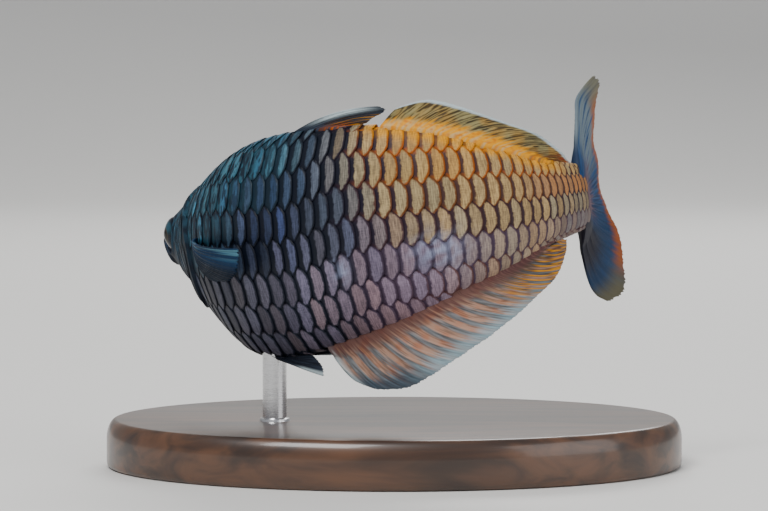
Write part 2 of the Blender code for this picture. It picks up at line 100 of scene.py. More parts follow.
PIVOT = 0.55
NOSE_DOWN = 7.2
FISH_LIFT = 35.0
FISH_SHIFT = (-6.0, -14.0)
gill_edge = smooth_curve((
    (0, 0.180), (50, 0.200), (95, 0.232), (130, 0.215), (160, 0.165), (180, 0.140)))
STALK_END_BULGE = 1.4
GAP = 0.3

# Skin: points round it, and rings over the head and over the body
SKIN_AROUND = 176
HEAD_RINGS = 150
BODY_RINGS = 150
COAT = 0.25

# Head: places along and over the spine, the nostrils' by station, and the gill cover's lip
MOUTH_TIP = (-1.0, 0.1)
MOUTH_CORNER = (5.0, -2.5)
CHIN = (8.2, -8.5)
CHEEK_TOP = (13.4, 2.8)
CHEEK_CORNER = (13.0, -2.2)
JOWL = (9.6, -6.3)
NOSTRILS = ((0.042, 2.05), (0.056, 2.75))
GILL_LIP = 0.6
GILL_LIP_REACH = 0.05

# Eyes
EYE_STATION = 0.098
EYE_HEIGHT = 1.35
EYE_RADIUS = 2.65
EYE_DEPTH = 1.7
EYE_PROUD = 0.45
EYE_CAP = 0.22
EYE_AROUND = 72
EYE_RINGS = 48
PUPIL_RADIUS = 1.08

# Scales: spacing along the body as a share of its length, and between rows in millimetres
column_pitch = smooth_curve((
    (0.05, 0.0150), (0.20, 0.0170), (0.25, 0.0195), (0.29, 0.0235), (0.32, 0.0255), (0.39, 0.0262),
    (0.47, 0.0256), (0.55, 0.0245), (0.625, 0.0240), (0.70, 0.0232), (0.74, 0.0224), (0.81, 0.0212),
    (0.89, 0.0168), (0.96, 0.0128), (1.04, 0.0110)))
COLUMN_ZERO = 0.70
row_pitch = smooth_curve((
    (0.05, 3.6), (0.20, 4.3), (0.30, 4.7), (0.46, 4.75), (0.54, 4.8), (0.625, 4.4), (0.715, 4.25),
    (0.80, 3.9), (0.89, 3.2), (0.96, 2.7), (1.04, 2.5)))
row_shift = smooth_curve(((0.05, 0.0), (0.45, 0.0), (0.60, -0.5), (1.04, -0.5)))
SCALE_TIP = 0.62
SCALE_SIDE = 0.34
SCALE_REAR = 0.50
SCALE_FRONT = -0.85
SCALE_LIFT = 0.32
SCALE_SUNK = 0.02
SCALE_THICK = 0.10
SCALE_UNEVEN = 0.04
SCALE_ALONG = 7
SCALE_ACROSS = 9
RIDGE_ROOM = 0.35
PATCH = 0.010
BACK_FIN_ROOTS = ((0.455, 0.565), (0.625, 0.90))
ANAL_FIN_ROOTS = ((0.471, 0.885),)
NAPE_START = 0.125
NAPE_SIDE = 42
BREAST_START = 0.150

# Stand
BASE_SIZE = (84.0, 56.0, 7.0)
BASE_WALL = 4.0
BASE_ROUND = 1.44
BASE_AROUND = 160
ROD_RADIUS = 1.75
ROD_STATION = 0.345
ROD_TOP = 21.0
ROD_AROUND = 64

# Depth of the paint
PAINT_DEPTH = 0.72
PAINT_RICHNESS = 1.2

# Shares and noise


def rise(value, low, high):
    """A smooth step from 0 at low to 1 at high."""
    t = np.clip((np.asarray(value, float) - low) / (high - low), 0, 1)
    return t * t * (3 - 2 * t)


def fall(value, low, high):
    """A smooth step from 1 at low to 0 at high."""
    return 1 - rise(value, low, high)


def band(value, low, high, soft):
    """A smooth 1 between low and high, falling to 0 over a soft edge."""
    return rise(value, low - soft, low + soft) * fall(value, high - soft, high + soft)


def bell(away, width):
    """A smooth 1 where away is 0, falling to 0 over about twice the width."""
    return np.exp(-((away / width) ** 2))


def noise(points, size, seed):
    """Soft values between -1 and 1 from a few crossed waves of about the given size."""
    draw = np.random.default_rng(seed)
    total = np.zeros(np.shape(points)[:-1])
    for _ in range(7):
        way = draw.normal(size=np.shape(points)[-1])
        way *= 2 * math.pi / (size * np.linalg.norm(way))
        total += np.sin(points @ way * draw.uniform(0.6, 1.7) + draw.uniform(0, 6.3))
    return total / 4.2


def speckle(points, seed):
    """Noise in fine specks, taller than they are long."""
    return noise(points * (1, 0.45, 0.45), 0.75, seed)


def unit(vectors):
    return vectors / (np.linalg.norm(vectors, axis=-1, keepdims=True) + 1e-12)


def full_turn(count):
    return np.linspace(0, 2 * math.pi, count, endpoint=False)


# Pose


def heading(station):
    """The spine's tailward direction, in radians from +X towards +Y."""
    return np.radians(heading_degrees(station))


SPINE_STATIONS = np.linspace(-0.1, SPINE_END, SPINE_STEPS)
SPINE_MIDDLES = (SPINE_STATIONS[1:] + SPINE_STATIONS[:-1]) / 2
SPINE_STEP = BODY_LENGTH * (SPINE_STATIONS[1] - SPINE_STATIONS[0])
SPINE_X = np.append(0, np.cumsum(SPINE_STEP * np.cos(heading(SPINE_MIDDLES))))
SPINE_Y = np.append(0, np.cumsum(SPINE_STEP * np.sin(heading(SPINE_MIDDLES))))


def posed(points):
    """Points of the fish in the pose it has on its stand."""
    lean = math.radians(NOSE_DOWN)
    x, y, z = np.moveaxis(np.asarray(points, float), -1, 0)
    ahead = x * math.cos(lean) - z * math.sin(lean) + FISH_SHIFT[0]
    up = x * math.sin(lean) + z * math.cos(lean) + FISH_LIFT
    return np.stack([ahead, y + FISH_SHIFT[1], up], axis=-1)


def place(station, side, height):
    """The point at a station, a distance to the left of the spine and a height over it."""
    station, side, height = np.broadcast_arrays(*(np.asarray(v, float) for v in (station, side, height)))
    way = heading(station)
    x, y = (np.interp(station, SPINE_STATIONS, line) - np.interp(PIVOT, SPINE_STATIONS, line)
            for line in (SPINE_X, SPINE_Y))
    return np.stack([x + side * np.sin(way), y - side * np.cos(way), height], axis=-1)


def section(station, turn):
    """(side, height) of the solids' surface at a station and a turn."""
    up, out = np.cos(turn), np.sin(turn)
    keel = np.where(up > 0, BACK_KEEL, belly_keel(station))
    side = half_width(station) * np.sign(out) * np.abs(out) ** keel
    height = np.where(up > 0, back_height(station), belly_depth(station)) * up
    return side, height


def flank_side(station, height):
    """Half the body's width at a height over or under the spine."""
    top = back_height(station) if height > 0 else belly_depth(station)
    keel = BACK_KEEL if height > 0 else belly_keel(station)
    return float(half_width(station) * (1 - (height / top) ** 2) ** (keel / 2))


def line_distance(point, start, end):
    """How far points lie from the straight line between two points."""
    start, way = np.array(start), np.subtract(end, start)
    along = np.clip((point - start) @ way / (way @ way), 0, 1)
    return np.linalg.norm(point - start - along[..., None] * way, axis=-1)


# Meshes


def add_thing(name, data):
    made = bpy.data.objects.new(name, data)
    bpy.context.scene.collection.objects.link(made)
    return made


def make_mesh(name, points, faces, material):
    """A smooth object from points in millimetres and a list of faces."""
    mesh = bpy.data.meshes.new(name)
    mesh.from_pydata((points.reshape(-1, 3) * MM).tolist(), [], faces)
    mesh.shade_smooth()
    mesh.materials.append(material)
    return add_thing(name, mesh)


def grid_quads(rows, columns, closed=False):
    """Quads over a grid of points that is stored row by row; a closed row ends where it starts."""
    index = np.arange(rows * columns).reshape(rows, columns)
    if closed:
        index = np.concatenate([index, index[:, :1]], axis=1)
    corners = [index[:-1, :-1], index[:-1, 1:], index[1:, 1:], index[1:, :-1]]
    return np.stack(corners, axis=-1).reshape(-1, 4)


def plate_quads(rows, columns):
    """Quads over both faces of a thin plate and round its rim; its lower points follow the upper."""
    total = rows * columns
    top = grid_quads(rows, columns)
    index = np.arange(total).reshape(rows, columns)
    loop = np.concatenate([index[0, :-1], index[:-1, -1], index[-1, :0:-1], index[:0:-1, 0]])
    following = np.roll(loop, -1)
    rim = np.stack([loop, loop + total, following + total, following], axis=-1)
    return np.concatenate([top, top[:, ::-1] + total, rim])


def pointed_faces(rows, around):
    """Faces over a stack of rings that two points, stored after it, close at its ends."""
    faces = grid_quads(rows, around, closed=True).tolist()
    first, last = rows * around, (rows - 1) * around
    for k in range(around):
        following = (k + 1) % around
        faces.append((first, following, k))
        faces.append((first + 1, last + k, last + following))
    return faces


def make_turned(name, middle, rings, around, material, sharp):
    """A solid with flat ends from a stack of level ovals, each half its width, half its depth and its
    height. Edges of more than a number of degrees stay sharp."""
    turn = full_turn(around)
    points = np.array([np.stack([middle[0] + wide * np.cos(turn), middle[1] + deep * np.sin(turn),
                                 np.full_like(turn, height)], axis=-1) for wide, deep, height in rings])
    faces = grid_quads(len(rings), around, closed=True).tolist()
    faces.append(range(around - 1, -1, -1))
    faces.append(range((len(rings) - 1) * around, len(rings) * around))
    made = make_mesh(name, points, faces, material)
    made.data.set_sharp_from_angle(angle=math.radians(sharp))
    return made


def add_layer(mesh, name, kind, field, values):
    """Values for each point, for a material to read."""
    layer = mesh.attributes.new(name, kind, "POINT")
    layer.data.foreach_set(field, values.astype(np.float32).ravel())


def add_colour(mesh, name, colours):
    """Paint on the points, made deeper and richer by the same shares everywhere."""
    colours = colours.reshape(-1, 3)
    grey = colours.mean(axis=1, keepdims=True)
    colours = PAINT_DEPTH * np.clip(grey + PAINT_RICHNESS * (colours - grey), 0, 1)
    values = np.concatenate([colours, np.ones((len(mesh.vertices), 1))], axis=1)
    add_layer(mesh, name, "FLOAT_COLOR", "color", values)


def add_uv(mesh, places):
    """The unwrap to bake on, from one (u, v) for each vertex."""
    layer = mesh.uv_layers.new(name="OFBake")
    corners = np.zeros(len(mesh.loops), np.int32)
    mesh.loops.foreach_get("vertex_index", corners)
    layer.data.foreach_set("uv", places[corners].astype(np.float32).ravel())


# Paint


def rgb(red, green, blue):
    """A colour as shown on a screen, 0 to 255, as linear light."""
    shown = np.array((red, green, blue)) / 255
    return np.where(shown <= 0.04045, shown / 12.92, ((shown + 0.055) / 1.055) ** 2.4)


BLUE = rgb(36, 78, 124)
NAVY = rgb(17, 35, 54)
DEEP_BLUE = rgb(14, 30, 66)
INK = rgb(13, 19, 32)
TEAL = rgb(66, 108, 126)
CYAN = rgb(112, 160, 178)
PALE_BLUE = rgb(164, 172, 198)
GREY_BLUE = rgb(116, 128, 134)
SLATE = rgb(67, 74, 104)
STEEL = rgb(82, 92, 110)
SMOKE = rgb(52, 62, 76)
SHADOW = rgb(34, 38, 50)
ASH = rgb(78, 80, 92)
STONE = rgb(118, 112, 104)
WHITE = rgb(206, 220, 224)
LILAC = rgb(124, 114, 128)
PINK = rgb(156, 136, 148)
ROSE = rgb(136, 96, 92)
MAUVE = rgb(84, 68, 86)
PLUM = rgb(44, 29, 48)
WINE = rgb(92, 56, 60)
SALMON = rgb(186, 152, 134)
SAND = rgb(170, 150, 114)
OLIVE = rgb(158, 148, 108)
AMBER = rgb(190, 140, 66)
GOLD = rgb(236, 166, 62)
ORANGE = rgb(196, 104, 32)
COPPER = rgb(180, 88, 38)
RED = rgb(176, 56, 20)
RUST = rgb(112, 68, 40)
UMBER = rgb(84, 58, 48)
BROWN = rgb(38, 28, 24)
IRIS = rgb(30, 38, 42)
IRIS_RING = rgb(70, 64, 50)
PUPIL = rgb(2, 2, 3)
WOOD_DARK = rgb(44, 28, 18)
WOOD_LIGHT = rgb(92, 60, 38)

# How the red, green and blue of a warmer scale change
WARMTH = np.array((1.0, 0.1, -1.0))


def wash(base, colour, share):
    """Paint over a base by a share at each point."""
    share = np.clip(np.asarray(share, float), 0, 1)[..., None]
    return base * (1 - share) + np.asarray(colour) * share


def layered(paint, *coats):
    """A base colour under coats laid in turn, each a colour and its share at each point."""
    for colour, share in coats:
        paint = wash(paint, colour, share)
    return paint


def level_at(station, height):
    return np.where(height > 0, height / back_height(station), height / belly_depth(station))


def fore_share(station, level):
    """1 on the streaky scales behind the head, above the breast."""
    return fall(station, 0.27, 0.40) * rise(level, -0.45, 0.1)


def face_colour(station, level):
    """The open part of a scale."""
    tan = station + 0.12 * np.clip(level, -0.3, 0.5)
    warm = station + 0.06 * rise(level, 0.35, 0.8)
    return layered(
        LILAC,
        (PINK, 0.8 * rise(-level, 0.15, 0.6) * rise(station, 0.50, 0.62)),
        (STONE, rise(level, -0.1, 0.35)),
        (SAND, rise(tan, 0.58, 0.68) * rise(level, -0.25, 0.1)),
        (AMBER, 0.6 * rise(station, 0.56, 0.68) * rise(level, 0.3, 0.8)),
        (SAND, 0.75 * rise(station, 0.67, 0.82)),
        (COPPER, 0.4 * rise(station, 0.82, 0.90) * band(level, 0.15, 0.75, 0.15)),
        (ASH, 0.55 * rise(station, 0.86, 0.94) * fall(level, -0.2, 0.2)),
        (STEEL, fall(warm, 0.53, 0.63) * rise(level, -0.4, 0.1)),
        (ASH, 0.8 * fall(station, 0.38, 0.52) * rise(-level, -0.1, 0.4)),
        (SLATE, fall(warm, 0.44, 0.54) * rise(level, -0.35, 0.05)),
        # Teal on the upper front rows: partly the scales' own blue, partly a painted sheen of light from
        # above
        (TEAL * 1.35, 0.8 * rise(level, 0.35, 0.75) * fall(station, 0.43, 0.53)),
        (NAVY, fall(station, 0.25, 0.38) * (0.4 - 0.2 * rise(level, 0.3, 0.7))),
        (TEAL * 2.0, 0.75 * fore_share(station, level)))


def face_width(station, level):
    """Half the length of a scale's open part, as a share of the spacing; least on the blue flank."""
    blue = fall(station, 0.48, 0.64) * rise(level, -0.55, -0.1)
    breast = fall(station, 0.38, 0.50) * rise(-level, 0.1, 0.5)
    tan = rise(station, 0.50, 0.62) * rise(level, -0.3, 0.2)
    return 0.375 - 0.11 * blue + 0.03 * breast - 0.03 * tan


def dark_coats(station, level):
    """Coats that the bars and the net have in common."""
    return ((TEAL * 0.85, 0.9 * rise(level, 0.3, 0.8) * fall(station, 0.36, 0.50)),
            (SHADOW, 0.8 * rise(-level, 0.1, 0.5)))


def low_mauve(station, level):
    return MAUVE, 0.8 * rise(station, 0.50, 0.66) * rise(-level, 0.1, 0.5)


def bar_colour(station, level):
    """The dark bar at the front of a scale's open part, partly pigment and partly painted shade."""
    return layered(
        INK, *dark_coats(station, level),
        (PLUM, 0.7 * rise(station, 0.54, 0.66)),
        low_mauve(station, level),
        (UMBER, 0.7 * rise(station, 0.60, 0.74) * rise(level, -0.3, 0.3)),
        (TEAL * 0.8, 0.7 * fore_share(station, level)),
        (RUST, 0.6 * rise(station, 0.62, 0.75) * rise(level, 0.7, 1.0)))


def net_colour(station, level):
    """The lines between the rows of scales and the skin under them, partly pigment, partly painted
    shade.
    """
    return layered(
        INK, *dark_coats(station, level),
        (PLUM, 0.9 * rise(station, 0.50, 0.64)),
        low_mauve(station, level),
        (RUST, rise(station, 0.56, 0.66) * rise(level, -0.15, 0.3) * fall(station, 0.85, 0.95)),
        (RUST, 0.5 * rise(station, 0.60, 0.74) * rise(-level, 0.35, 0.8)),
        (ORANGE, 0.6 * band(station, 0.60, 0.92, 0.05) * rise(level, 0.4, 0.85)))


def skin_colour(station, height, points):
    """The whole skin: the net's colours behind, and in front the head's, with a painted sheen in its
    teal.
    """
    level = level_at(station, height)
    mottle = noise(points, 1.2, 6)
    head = layered(
        NAVY,
        # Teal over the upper head: partly the head's own colour, partly a painted sheen of light from
        # above
        (TEAL, 0.7 * rise(level, 0.0, 0.8) * (0.6 + 0.4 * mottle)),
        (TEAL * 1.3, 0.3 * rise(station, 0.10, 0.15) * rise(level, -0.6, 0.2)),
        (BLUE, 0.5 * fall(station, 0.05, 0.11) * rise(level, -0.5, 0.3)),
        (INK, 0.9 * rise(speckle(points, 5), -0.3, 0.2)),
        (INK, 0.5 * rise(-level, 0.2, 0.8)))
    body = net_colour(station, level)
    return head + (body - head) * rise(station, 0.19, 0.26)[..., None]


def fleshy_base(station, height):
    """1 along the fleshy base of the second fin on the back."""
    return fall(back_height(station) - height, 0.9, 2.2) * band(station, 0.60, 0.93, 0.02)


def pale_patches(station, height, blotches):
    """Where the skin is made pale blue: one wide patch low on the rear flank and a small one ahead."""
    wide = bell(station - 0.70, 0.035) * bell(height + 3.4, 2.2)
    small = bell(station - 0.552, 0.012) * bell(height + 5.0, 1.6)
    return (wide + small) * rise(blotches, -0.5, 0.3)


# Nodes of the finishes


class Finish:
    """A tree of nodes and short ways to add to it. An input takes a number, a colour or an output."""

    def __init__(self, tree):
        self.tree = tree

    def feed(self, made, values):
        """Values for a node's inputs, each by the input's name or number."""
        for key, value in values.items():
            if isinstance(value, bpy.types.NodeSocket):
                self.tree.links.new(value, made.inputs[key])
            else:
                made.inputs[key].default_value = value

    def add(self, kind, values, **settings):
        """A new node's outputs, once its settings are made and its inputs fed."""
        made = self.tree.nodes.new(kind)
        for key, value in settings.items():
            setattr(made, key, value)
        self.feed(made, values)
        return made.outputs

    def shade(self, **values):
        """Values for the material's shader; a name's words are parted by underscores."""
        shader = self.tree.nodes["Principled BSDF"]
        self.feed(shader, {key.replace("_", " "): value for key, value in values.items()})

    def maths(self, operation, *values):
        return self.add("ShaderNodeMath", dict(enumerate(values)), operation=operation)[0]

    def read(self, name, output):
        return self.add("ShaderNodeAttribute", {}, attribute_name=name)[output]

    def step(self, value, low, high):
        values = {"Value": value, "From Min": low, "From Max": high}
        return self.add("ShaderNodeMapRange", values, interpolation_type="SMOOTHSTEP")["Result"]

    def mix(self, factor, first, second):
        """Mix of two colours; the colour sockets of a Mix node are its inputs 6 and 7."""
        return self.add("ShaderNodeMix", {0: factor, 6: first, 7: second}, data_type="RGBA")[2]

    def grain(self, place_at, stretch, detail, distortion=0.0):
        values = {"Place": place_at, "Stretch": stretch, "Detail": detail, "Distortion": distortion}
        return self.add("ShaderNodeGroup", values, node_tree=GRAIN)["Strength"]

    def object_place(self):
        return self.add("ShaderNodeTexCoord", {})["Object"]

    def bump(self, height, strength, distance):
        values = {"Height": height, "Strength": strength, "Distance": distance}
        self.shade(Normal=self.add("ShaderNodeBump", values)["Normal"])


def grain_group():
    """Grain of any finish: its strength at a place, stretched by a number of grains to the unit."""
    made = bpy.data.node_groups.new("grain", "ShaderNodeTree")
    for name, kind in (("Place", "NodeSocketVector"), ("Stretch", "NodeSocketVector"),
                       ("Detail", "NodeSocketFloat"), ("Distortion", "NodeSocketFloat")):
        made.interface.new_socket(name, in_out="INPUT", socket_type=kind)
    made.interface.new_socket("Strength", in_out="OUTPUT", socket_type="NodeSocketFloat")
    group = Finish(made)
    given = group.add("NodeGroupInput", {})
    stretched = group.add("ShaderNodeVectorMath", {0: given["Place"], 1: given["Stretch"]},
                          operation="MULTIPLY")[0]
    values = {"Vector": stretched, "Scale": 1.0}
    values.update((name, given[name]) for name in ("Detail", "Distortion"))
    grain = group.add("ShaderNodeTexNoise", values)
    group.add("NodeGroupOutput", {"Strength": grain["Fac"]})
    return made


GRAIN = grain_group()


def new_material(name):
    made = bpy.data.materials.new(name)
    made.use_nodes = True
    return made, Finish(made.node_tree)


def scale_material():
    """Face, bar and net of each scale from its own place along and across. Its open part is a tall
    shape with a point at each end, and bulges rearwards at the front as at the rear."""
    made, finish = new_material("scales")
    maths, read, step = finish.maths, finish.read, finish.step

    def streaks(size_along, size_across, detail):
        """Grain stretched in the scale's own directions, different on each scale."""
        return finish.grain(read("lie", "Vector"), (size_along, size_across, 300.0), detail)

    along, across, _ = finish.add("ShaderNodeSeparateXYZ", {0: read("lie", "Vector")})
    ragged = maths("SUBTRACT", streaks(5.0, 7.0, 2.0), 0.5)
    far = maths("ABSOLUTE", across)
    curved = maths("MULTIPLY_ADD", maths("MULTIPLY", far, far), 0.75, along)
    off = maths("ABSOLUTE", maths("SUBTRACT", curved, read("face_place", "Fac")))
    off = maths("MULTIPLY_ADD", ragged, 0.22, off)
    point = maths("POWER", maths("MAXIMUM", maths("SUBTRACT", far, 0.26), 0.0), 1.3)
    narrowed = maths("SUBTRACT", read("face_width", "Fac"), maths("MULTIPLY", point, 1.15))
    reach = maths("MULTIPLY_ADD", ragged, 0.16, far)
    open_part = step(maths("SUBTRACT", narrowed, off), -0.04, 0.09)
    open_part = maths("MULTIPLY", open_part, step(reach, 0.62, 0.50))
    front = maths("MULTIPLY", step(curved, 0.0, -0.06), step(reach, 0.50, 0.30))
    face, bar = read("face", "Color"), read("bar", "Color")
    fine = streaks(16.0, 2.6, 1.5)
    cross = streaks(3.0, 24.0, 1.5)
    shade = maths("MULTIPLY_ADD", fine, 0.72, maths("MULTIPLY", cross, 0.28))
    bright = finish.add("ShaderNodeVectorMath", {0: face, "Scale": 1.35}, operation="SCALE")[0]
    streaked = finish.mix(step(shade, 0.30, 0.70), finish.mix(0.5, face, bar), bright)
    # Round the open part, the bar in front and the net elsewhere are both partly painted shade
    painted = finish.mix(open_part, finish.mix(front, read("net", "Color"), bar), streaked)
    strokes = maths("MULTIPLY", step(streaks(4.2, 2.4, 2.0), 0.44, 0.54), read("streaky", "Fac"))
    colour = finish.mix(strokes, painted, (*INK, 1.0))
    finish.shade(Base_Color=colour, Roughness=0.5, Specular_IOR_Level=0.2)
    finish.bump(maths("ADD", fine, cross), 0.45, 0.00005)
    return made


def painted_material(name, roughness, grain_size, strength):
    """A finish whose colour is painted on the points, with a fine grain in relief."""
    made, finish = new_material(name)
    finish.shade(Base_Color=finish.read("paint", "Color"), Roughness=roughness, Specular_IOR_Level=0.2)
    grain = finish.grain(finish.object_place(), (grain_size, grain_size, grain_size), 4.0)
    finish.bump(grain, strength, 0.0001)
    return made


def wood_material():
    made, finish = new_material("dark wood")
    grain = finish.grain(finish.object_place(), (28.0, 260.0, 260.0), 6.0, 0.8)
    colour = finish.mix(finish.step(grain, 0.3, 0.7), (*WOOD_DARK, 1), (*WOOD_LIGHT, 1))
    finish.shade(Base_Color=colour, Roughness=0.35, Coat_Weight=0.5, Coat_Roughness=0.12)
    finish.bump(grain, 0.15, 0.0002)
    return made


def steel_material():
    """Steel turned on a lathe, with fine rings round the rod."""
    made, finish = new_material("turned steel")
    grain = finish.grain(finish.object_place(), (260.0, 260.0, 5200.0), 2.0)
    finish.shade(Base_Color=(0.62, 0.62, 0.63, 1), Metallic=1.0,
                 Roughness=finish.maths("MULTIPLY_ADD", grain, 0.24, 0.14))
    finish.bump(grain, 0.12, 0.00004)
    return made


# Skin


def eye_frame(hand):
    """The middle of an eye and the way it looks."""
    side = flank_side(EYE_STATION, EYE_HEIGHT) + EYE_PROUD - EYE_DEPTH
    widening = half_width(EYE_STATION + 0.02) - half_width(EYE_STATION - 0.02)
    way = float(heading(EYE_STATION)) - hand * math.atan2(float(widening), 0.04 * BODY_LENGTH)
    looks = np.array((hand * math.sin(way), -hand * math.cos(way), 0))
    return place(EYE_STATION, hand * side, EYE_HEIGHT), looks


def cover_rise(station, turn):
    """How far the rear edge of the gill cover stands out of the head."""
    edge = gill_edge(np.degrees(np.abs(turn)))
    lip = rise(station, edge - GILL_LIP_REACH, edge) * (station <= edge + 1e-9)
    return GILL_LIP * lip * np.abs(np.sin(turn)) ** 0.6


def relief(station, turn):
    """How far the skin stands out from the plain section: lips, jaw line, nostrils, cheek and gills."""
    side, height = section(station, turn)
    profile = np.stack([station * BODY_LENGTH, height], axis=-1)
    head = fall(station, 0.16, 0.2)
    mouth = line_distance(profile, MOUTH_TIP, MOUTH_CORNER)
    out = head * (0.62 * bell(mouth - 0.55, 0.42) - 0.45 * bell(mouth, 0.2) + 0.1) - COAT
    out -= head * 0.18 * bell(line_distance(profile, MOUTH_CORNER, CHIN), 0.35)
    for pit_station, pit_height in NOSTRILS:
        away = np.hypot(profile[..., 0] - pit_station * BODY_LENGTH, height - pit_height)
        away = away + 9 * (np.abs(side) < 0.5)
        out += 0.12 * bell(away - 0.42, 0.14) - 0.5 * bell(away, 0.26)
    fold = np.minimum(line_distance(profile, CHEEK_TOP, CHEEK_CORNER),
                      line_distance(profile, CHEEK_CORNER, JOWL))
    out += 0.14 * bell(fold - 0.3, 0.4) - 0.2 * bell(fold, 0.22)
    edge = gill_edge(np.degrees(np.abs(turn)))
    hollow = (station > edge + 1e-9) * fall(station, edge, edge + 0.012)
    return out + cover_rise(station, turn) - 0.15 * hollow * np.abs(np.sin(turn)) ** 0.6


def eye_socket(points, hand):
    """Points of the skin, sunk under an eye and raised round its rim."""
    centre, way = eye_frame(hand)
    offset = points - centre
    depth = offset @ way
    away = np.linalg.norm(offset - depth[..., None] * way, axis=-1)
    rim = 0.28 * bell(away - EYE_RADIUS - 0.28, 0.3)
    sink = 1.6 * fall(away, EYE_RADIUS - 0.55, EYE_RADIUS + 0.05)
    return points + way * (rise(depth, -1.0, 0.2) * (rim - sink))[..., None]


def make_skin():
    """One closed skin from the snout to the root of the tail fin."""
    turn = np.linspace(-math.pi, math.pi, SKIN_AROUND, endpoint=False)
    edge = gill_edge(np.degrees(np.abs(turn)))
    end = 1.0 - STALK_END_BULGE / BODY_LENGTH * np.cos(turn) ** 2 + 0.1 / BODY_LENGTH
    start = edge + 0.12 / BODY_LENGTH
    stations = [edge * share for share in np.linspace(0, 1, HEAD_RINGS) ** 1.15]
    stations += [start + (end - start) * share for share in np.linspace(0, 1, BODY_RINGS) ** 1.1]
    stations = np.array(stations)
    side, height = section(stations, turn)
    flat = place(stations, side, height)
    along = np.gradient(flat, axis=0)
    across = np.roll(flat, -1, axis=1) - np.roll(flat, 1, axis=1)
    normal = unit(np.cross(along, across))
    middle = place(stations, 0, 0.35 * height)
    normal *= np.sign(np.sum(normal * (flat - middle), axis=-1, keepdims=True) + 1e-12)
    points = flat + normal * relief(stations, np.broadcast_to(turn, stations.shape))[..., None]
    points = eye_socket(eye_socket(points, 1), -1)

    front, rear = [], []
    for share in (0.2, 0.5, 0.8):
        front.append(place(-0.004 * (1 - share**2), side[0] * share, height[0] * share))
        tail = 1.0 + (end - 1.0) * share**2
        rear.insert(0, place(tail, *(v * share * 0.97 for v in section(tail, turn))))
    rings = np.concatenate([front, points, rear])
    rows = len(rings)
    poles = [rings[0].mean(axis=0) - 0.05, rings[-1].mean(axis=0)]
    skin = make_mesh("skin", posed(np.concatenate([rings.reshape(-1, 3), poles])),
                     pointed_faces(rows, SKIN_AROUND), painted_material("skin", 0.6, 900.0, 0.25))

    ends = np.ones((3, SKIN_AROUND))
    stations = np.concatenate([0 * ends, stations, ends])
    height = np.concatenate([ends * height[0], height, ends * height[-1]])
    paint = skin_colour(stations, height, rings).reshape(-1, 3)
    add_colour(skin.data, "paint", np.concatenate([paint, paint[:1], paint[-1:]]))
    across_unwrap = 0.01 + 0.98 * np.linspace(0, 1, rows)
    up_unwrap = 0.01 + 0.97 * (turn + math.pi) / (2 * math.pi)
    places = np.stack(np.meshgrid(across_unwrap, up_unwrap, indexing="ij"), axis=-1)
    add_uv(skin.data, np.concatenate([places.reshape(-1, 2), [[0.005, 0.5], [0.995, 0.5]]]))
    return skin


# Places on the skin

TABLE_STATIONS = np.linspace(0.05, 1.05, 260)
TABLE_ARCS = np.linspace(-27, 27, 325)


def turn_table():
    """The turn at each station and distance along the skin from the middle of the flank."""
    turn = np.linspace(-1.5, math.pi + 1.5, 900)
    table = []
    for station in TABLE_STATIONS:
        side, height = section(np.full_like(turn, station), turn)
        arc = np.append(0, np.cumsum(np.hypot(np.diff(side), np.diff(height))))
        arc -= np.interp(math.pi / 2, turn, arc)
        table.append(np.interp(TABLE_ARCS, arc, turn))
    return np.array(table)


TURNS = turn_table()
COLUMNS = np.append(0, np.cumsum(np.diff(TABLE_STATIONS) / column_pitch(TABLE_STATIONS[1:])))
COLUMNS -= np.interp(COLUMN_ZERO, TABLE_STATIONS, COLUMNS) % 1


def table_place(value, table):
    """The entry of an evenly spaced table that a value lies past, and how far past it."""
    at = np.clip((value - table[0]) / (table[1] - table[0]), 0, len(table) - 1.001)
    return at.astype(int), at - at.astype(int)


def turn_at(station, arc):
    """The turn at a distance along the skin down from the middle of the flank."""
    i, x = table_place(station, TABLE_STATIONS)
    j, y = table_place(arc, TABLE_ARCS)
    return ((1 - x) * (1 - y) * TURNS[i, j] + x * (1 - y) * TURNS[i + 1, j]
            + (1 - x) * y * TURNS[i, j + 1] + x * y * TURNS[i + 1, j + 1])


def surface(station, arc, hand):
    side, height = section(station, turn_at(station, arc))
    return place(station, hand * side, height)


def surface_normal(station, arc, hand):
    along = surface(station + 0.002, arc, hand) - surface(station - 0.002, arc, hand)
    across = surface(station, arc + 0.15, hand) - surface(station, arc - 0.15, hand)
    return unit(hand * np.cross(across, along))


def ridge_arc(station, turn):
    """The distance along the skin from the middle of the flank to a turn."""
    index = np.searchsorted(TABLE_STATIONS, station)
    return float(np.interp(turn, TURNS[min(index, len(TURNS) - 1)], TABLE_ARCS))


def row_arc(station, row):
    """The distance along the skin from the middle of the flank to a row; rows rise a little
    towards the tail and get closer towards the belly."""
    row = row + row_shift(station)
    return row_pitch(station) * np.where(row > 1.5, 1.5 + (row - 1.5) * 0.92, row)


# Scales. A kind is 0 on the flank, and 1 or -1 on the scales that straddle the back or the belly


def is_scaly(station, arc):
    """Whether a flank scale's root lies on the body, the nape or the gill cover."""
    step, pitch = float(column_pitch(station)), float(row_pitch(station))
    top, bottom = ridge_arc(station, 0.0), ridge_arc(station, math.pi)
    if station > 1.0 - 0.2 * step or not top - 0.15 * pitch < arc < bottom + 0.1 * pitch:
        return False
    turn = math.degrees(float(turn_at(np.array(station), np.array(arc))))
    edge = float(gill_edge(turn))
    on_cover = 0.132 < station < edge - 0.45 * step and 35 < turn < 140
    on_nape = NAPE_START < station and turn < NAPE_SIDE
    return station > edge + 0.55 * step or on_cover or on_nape


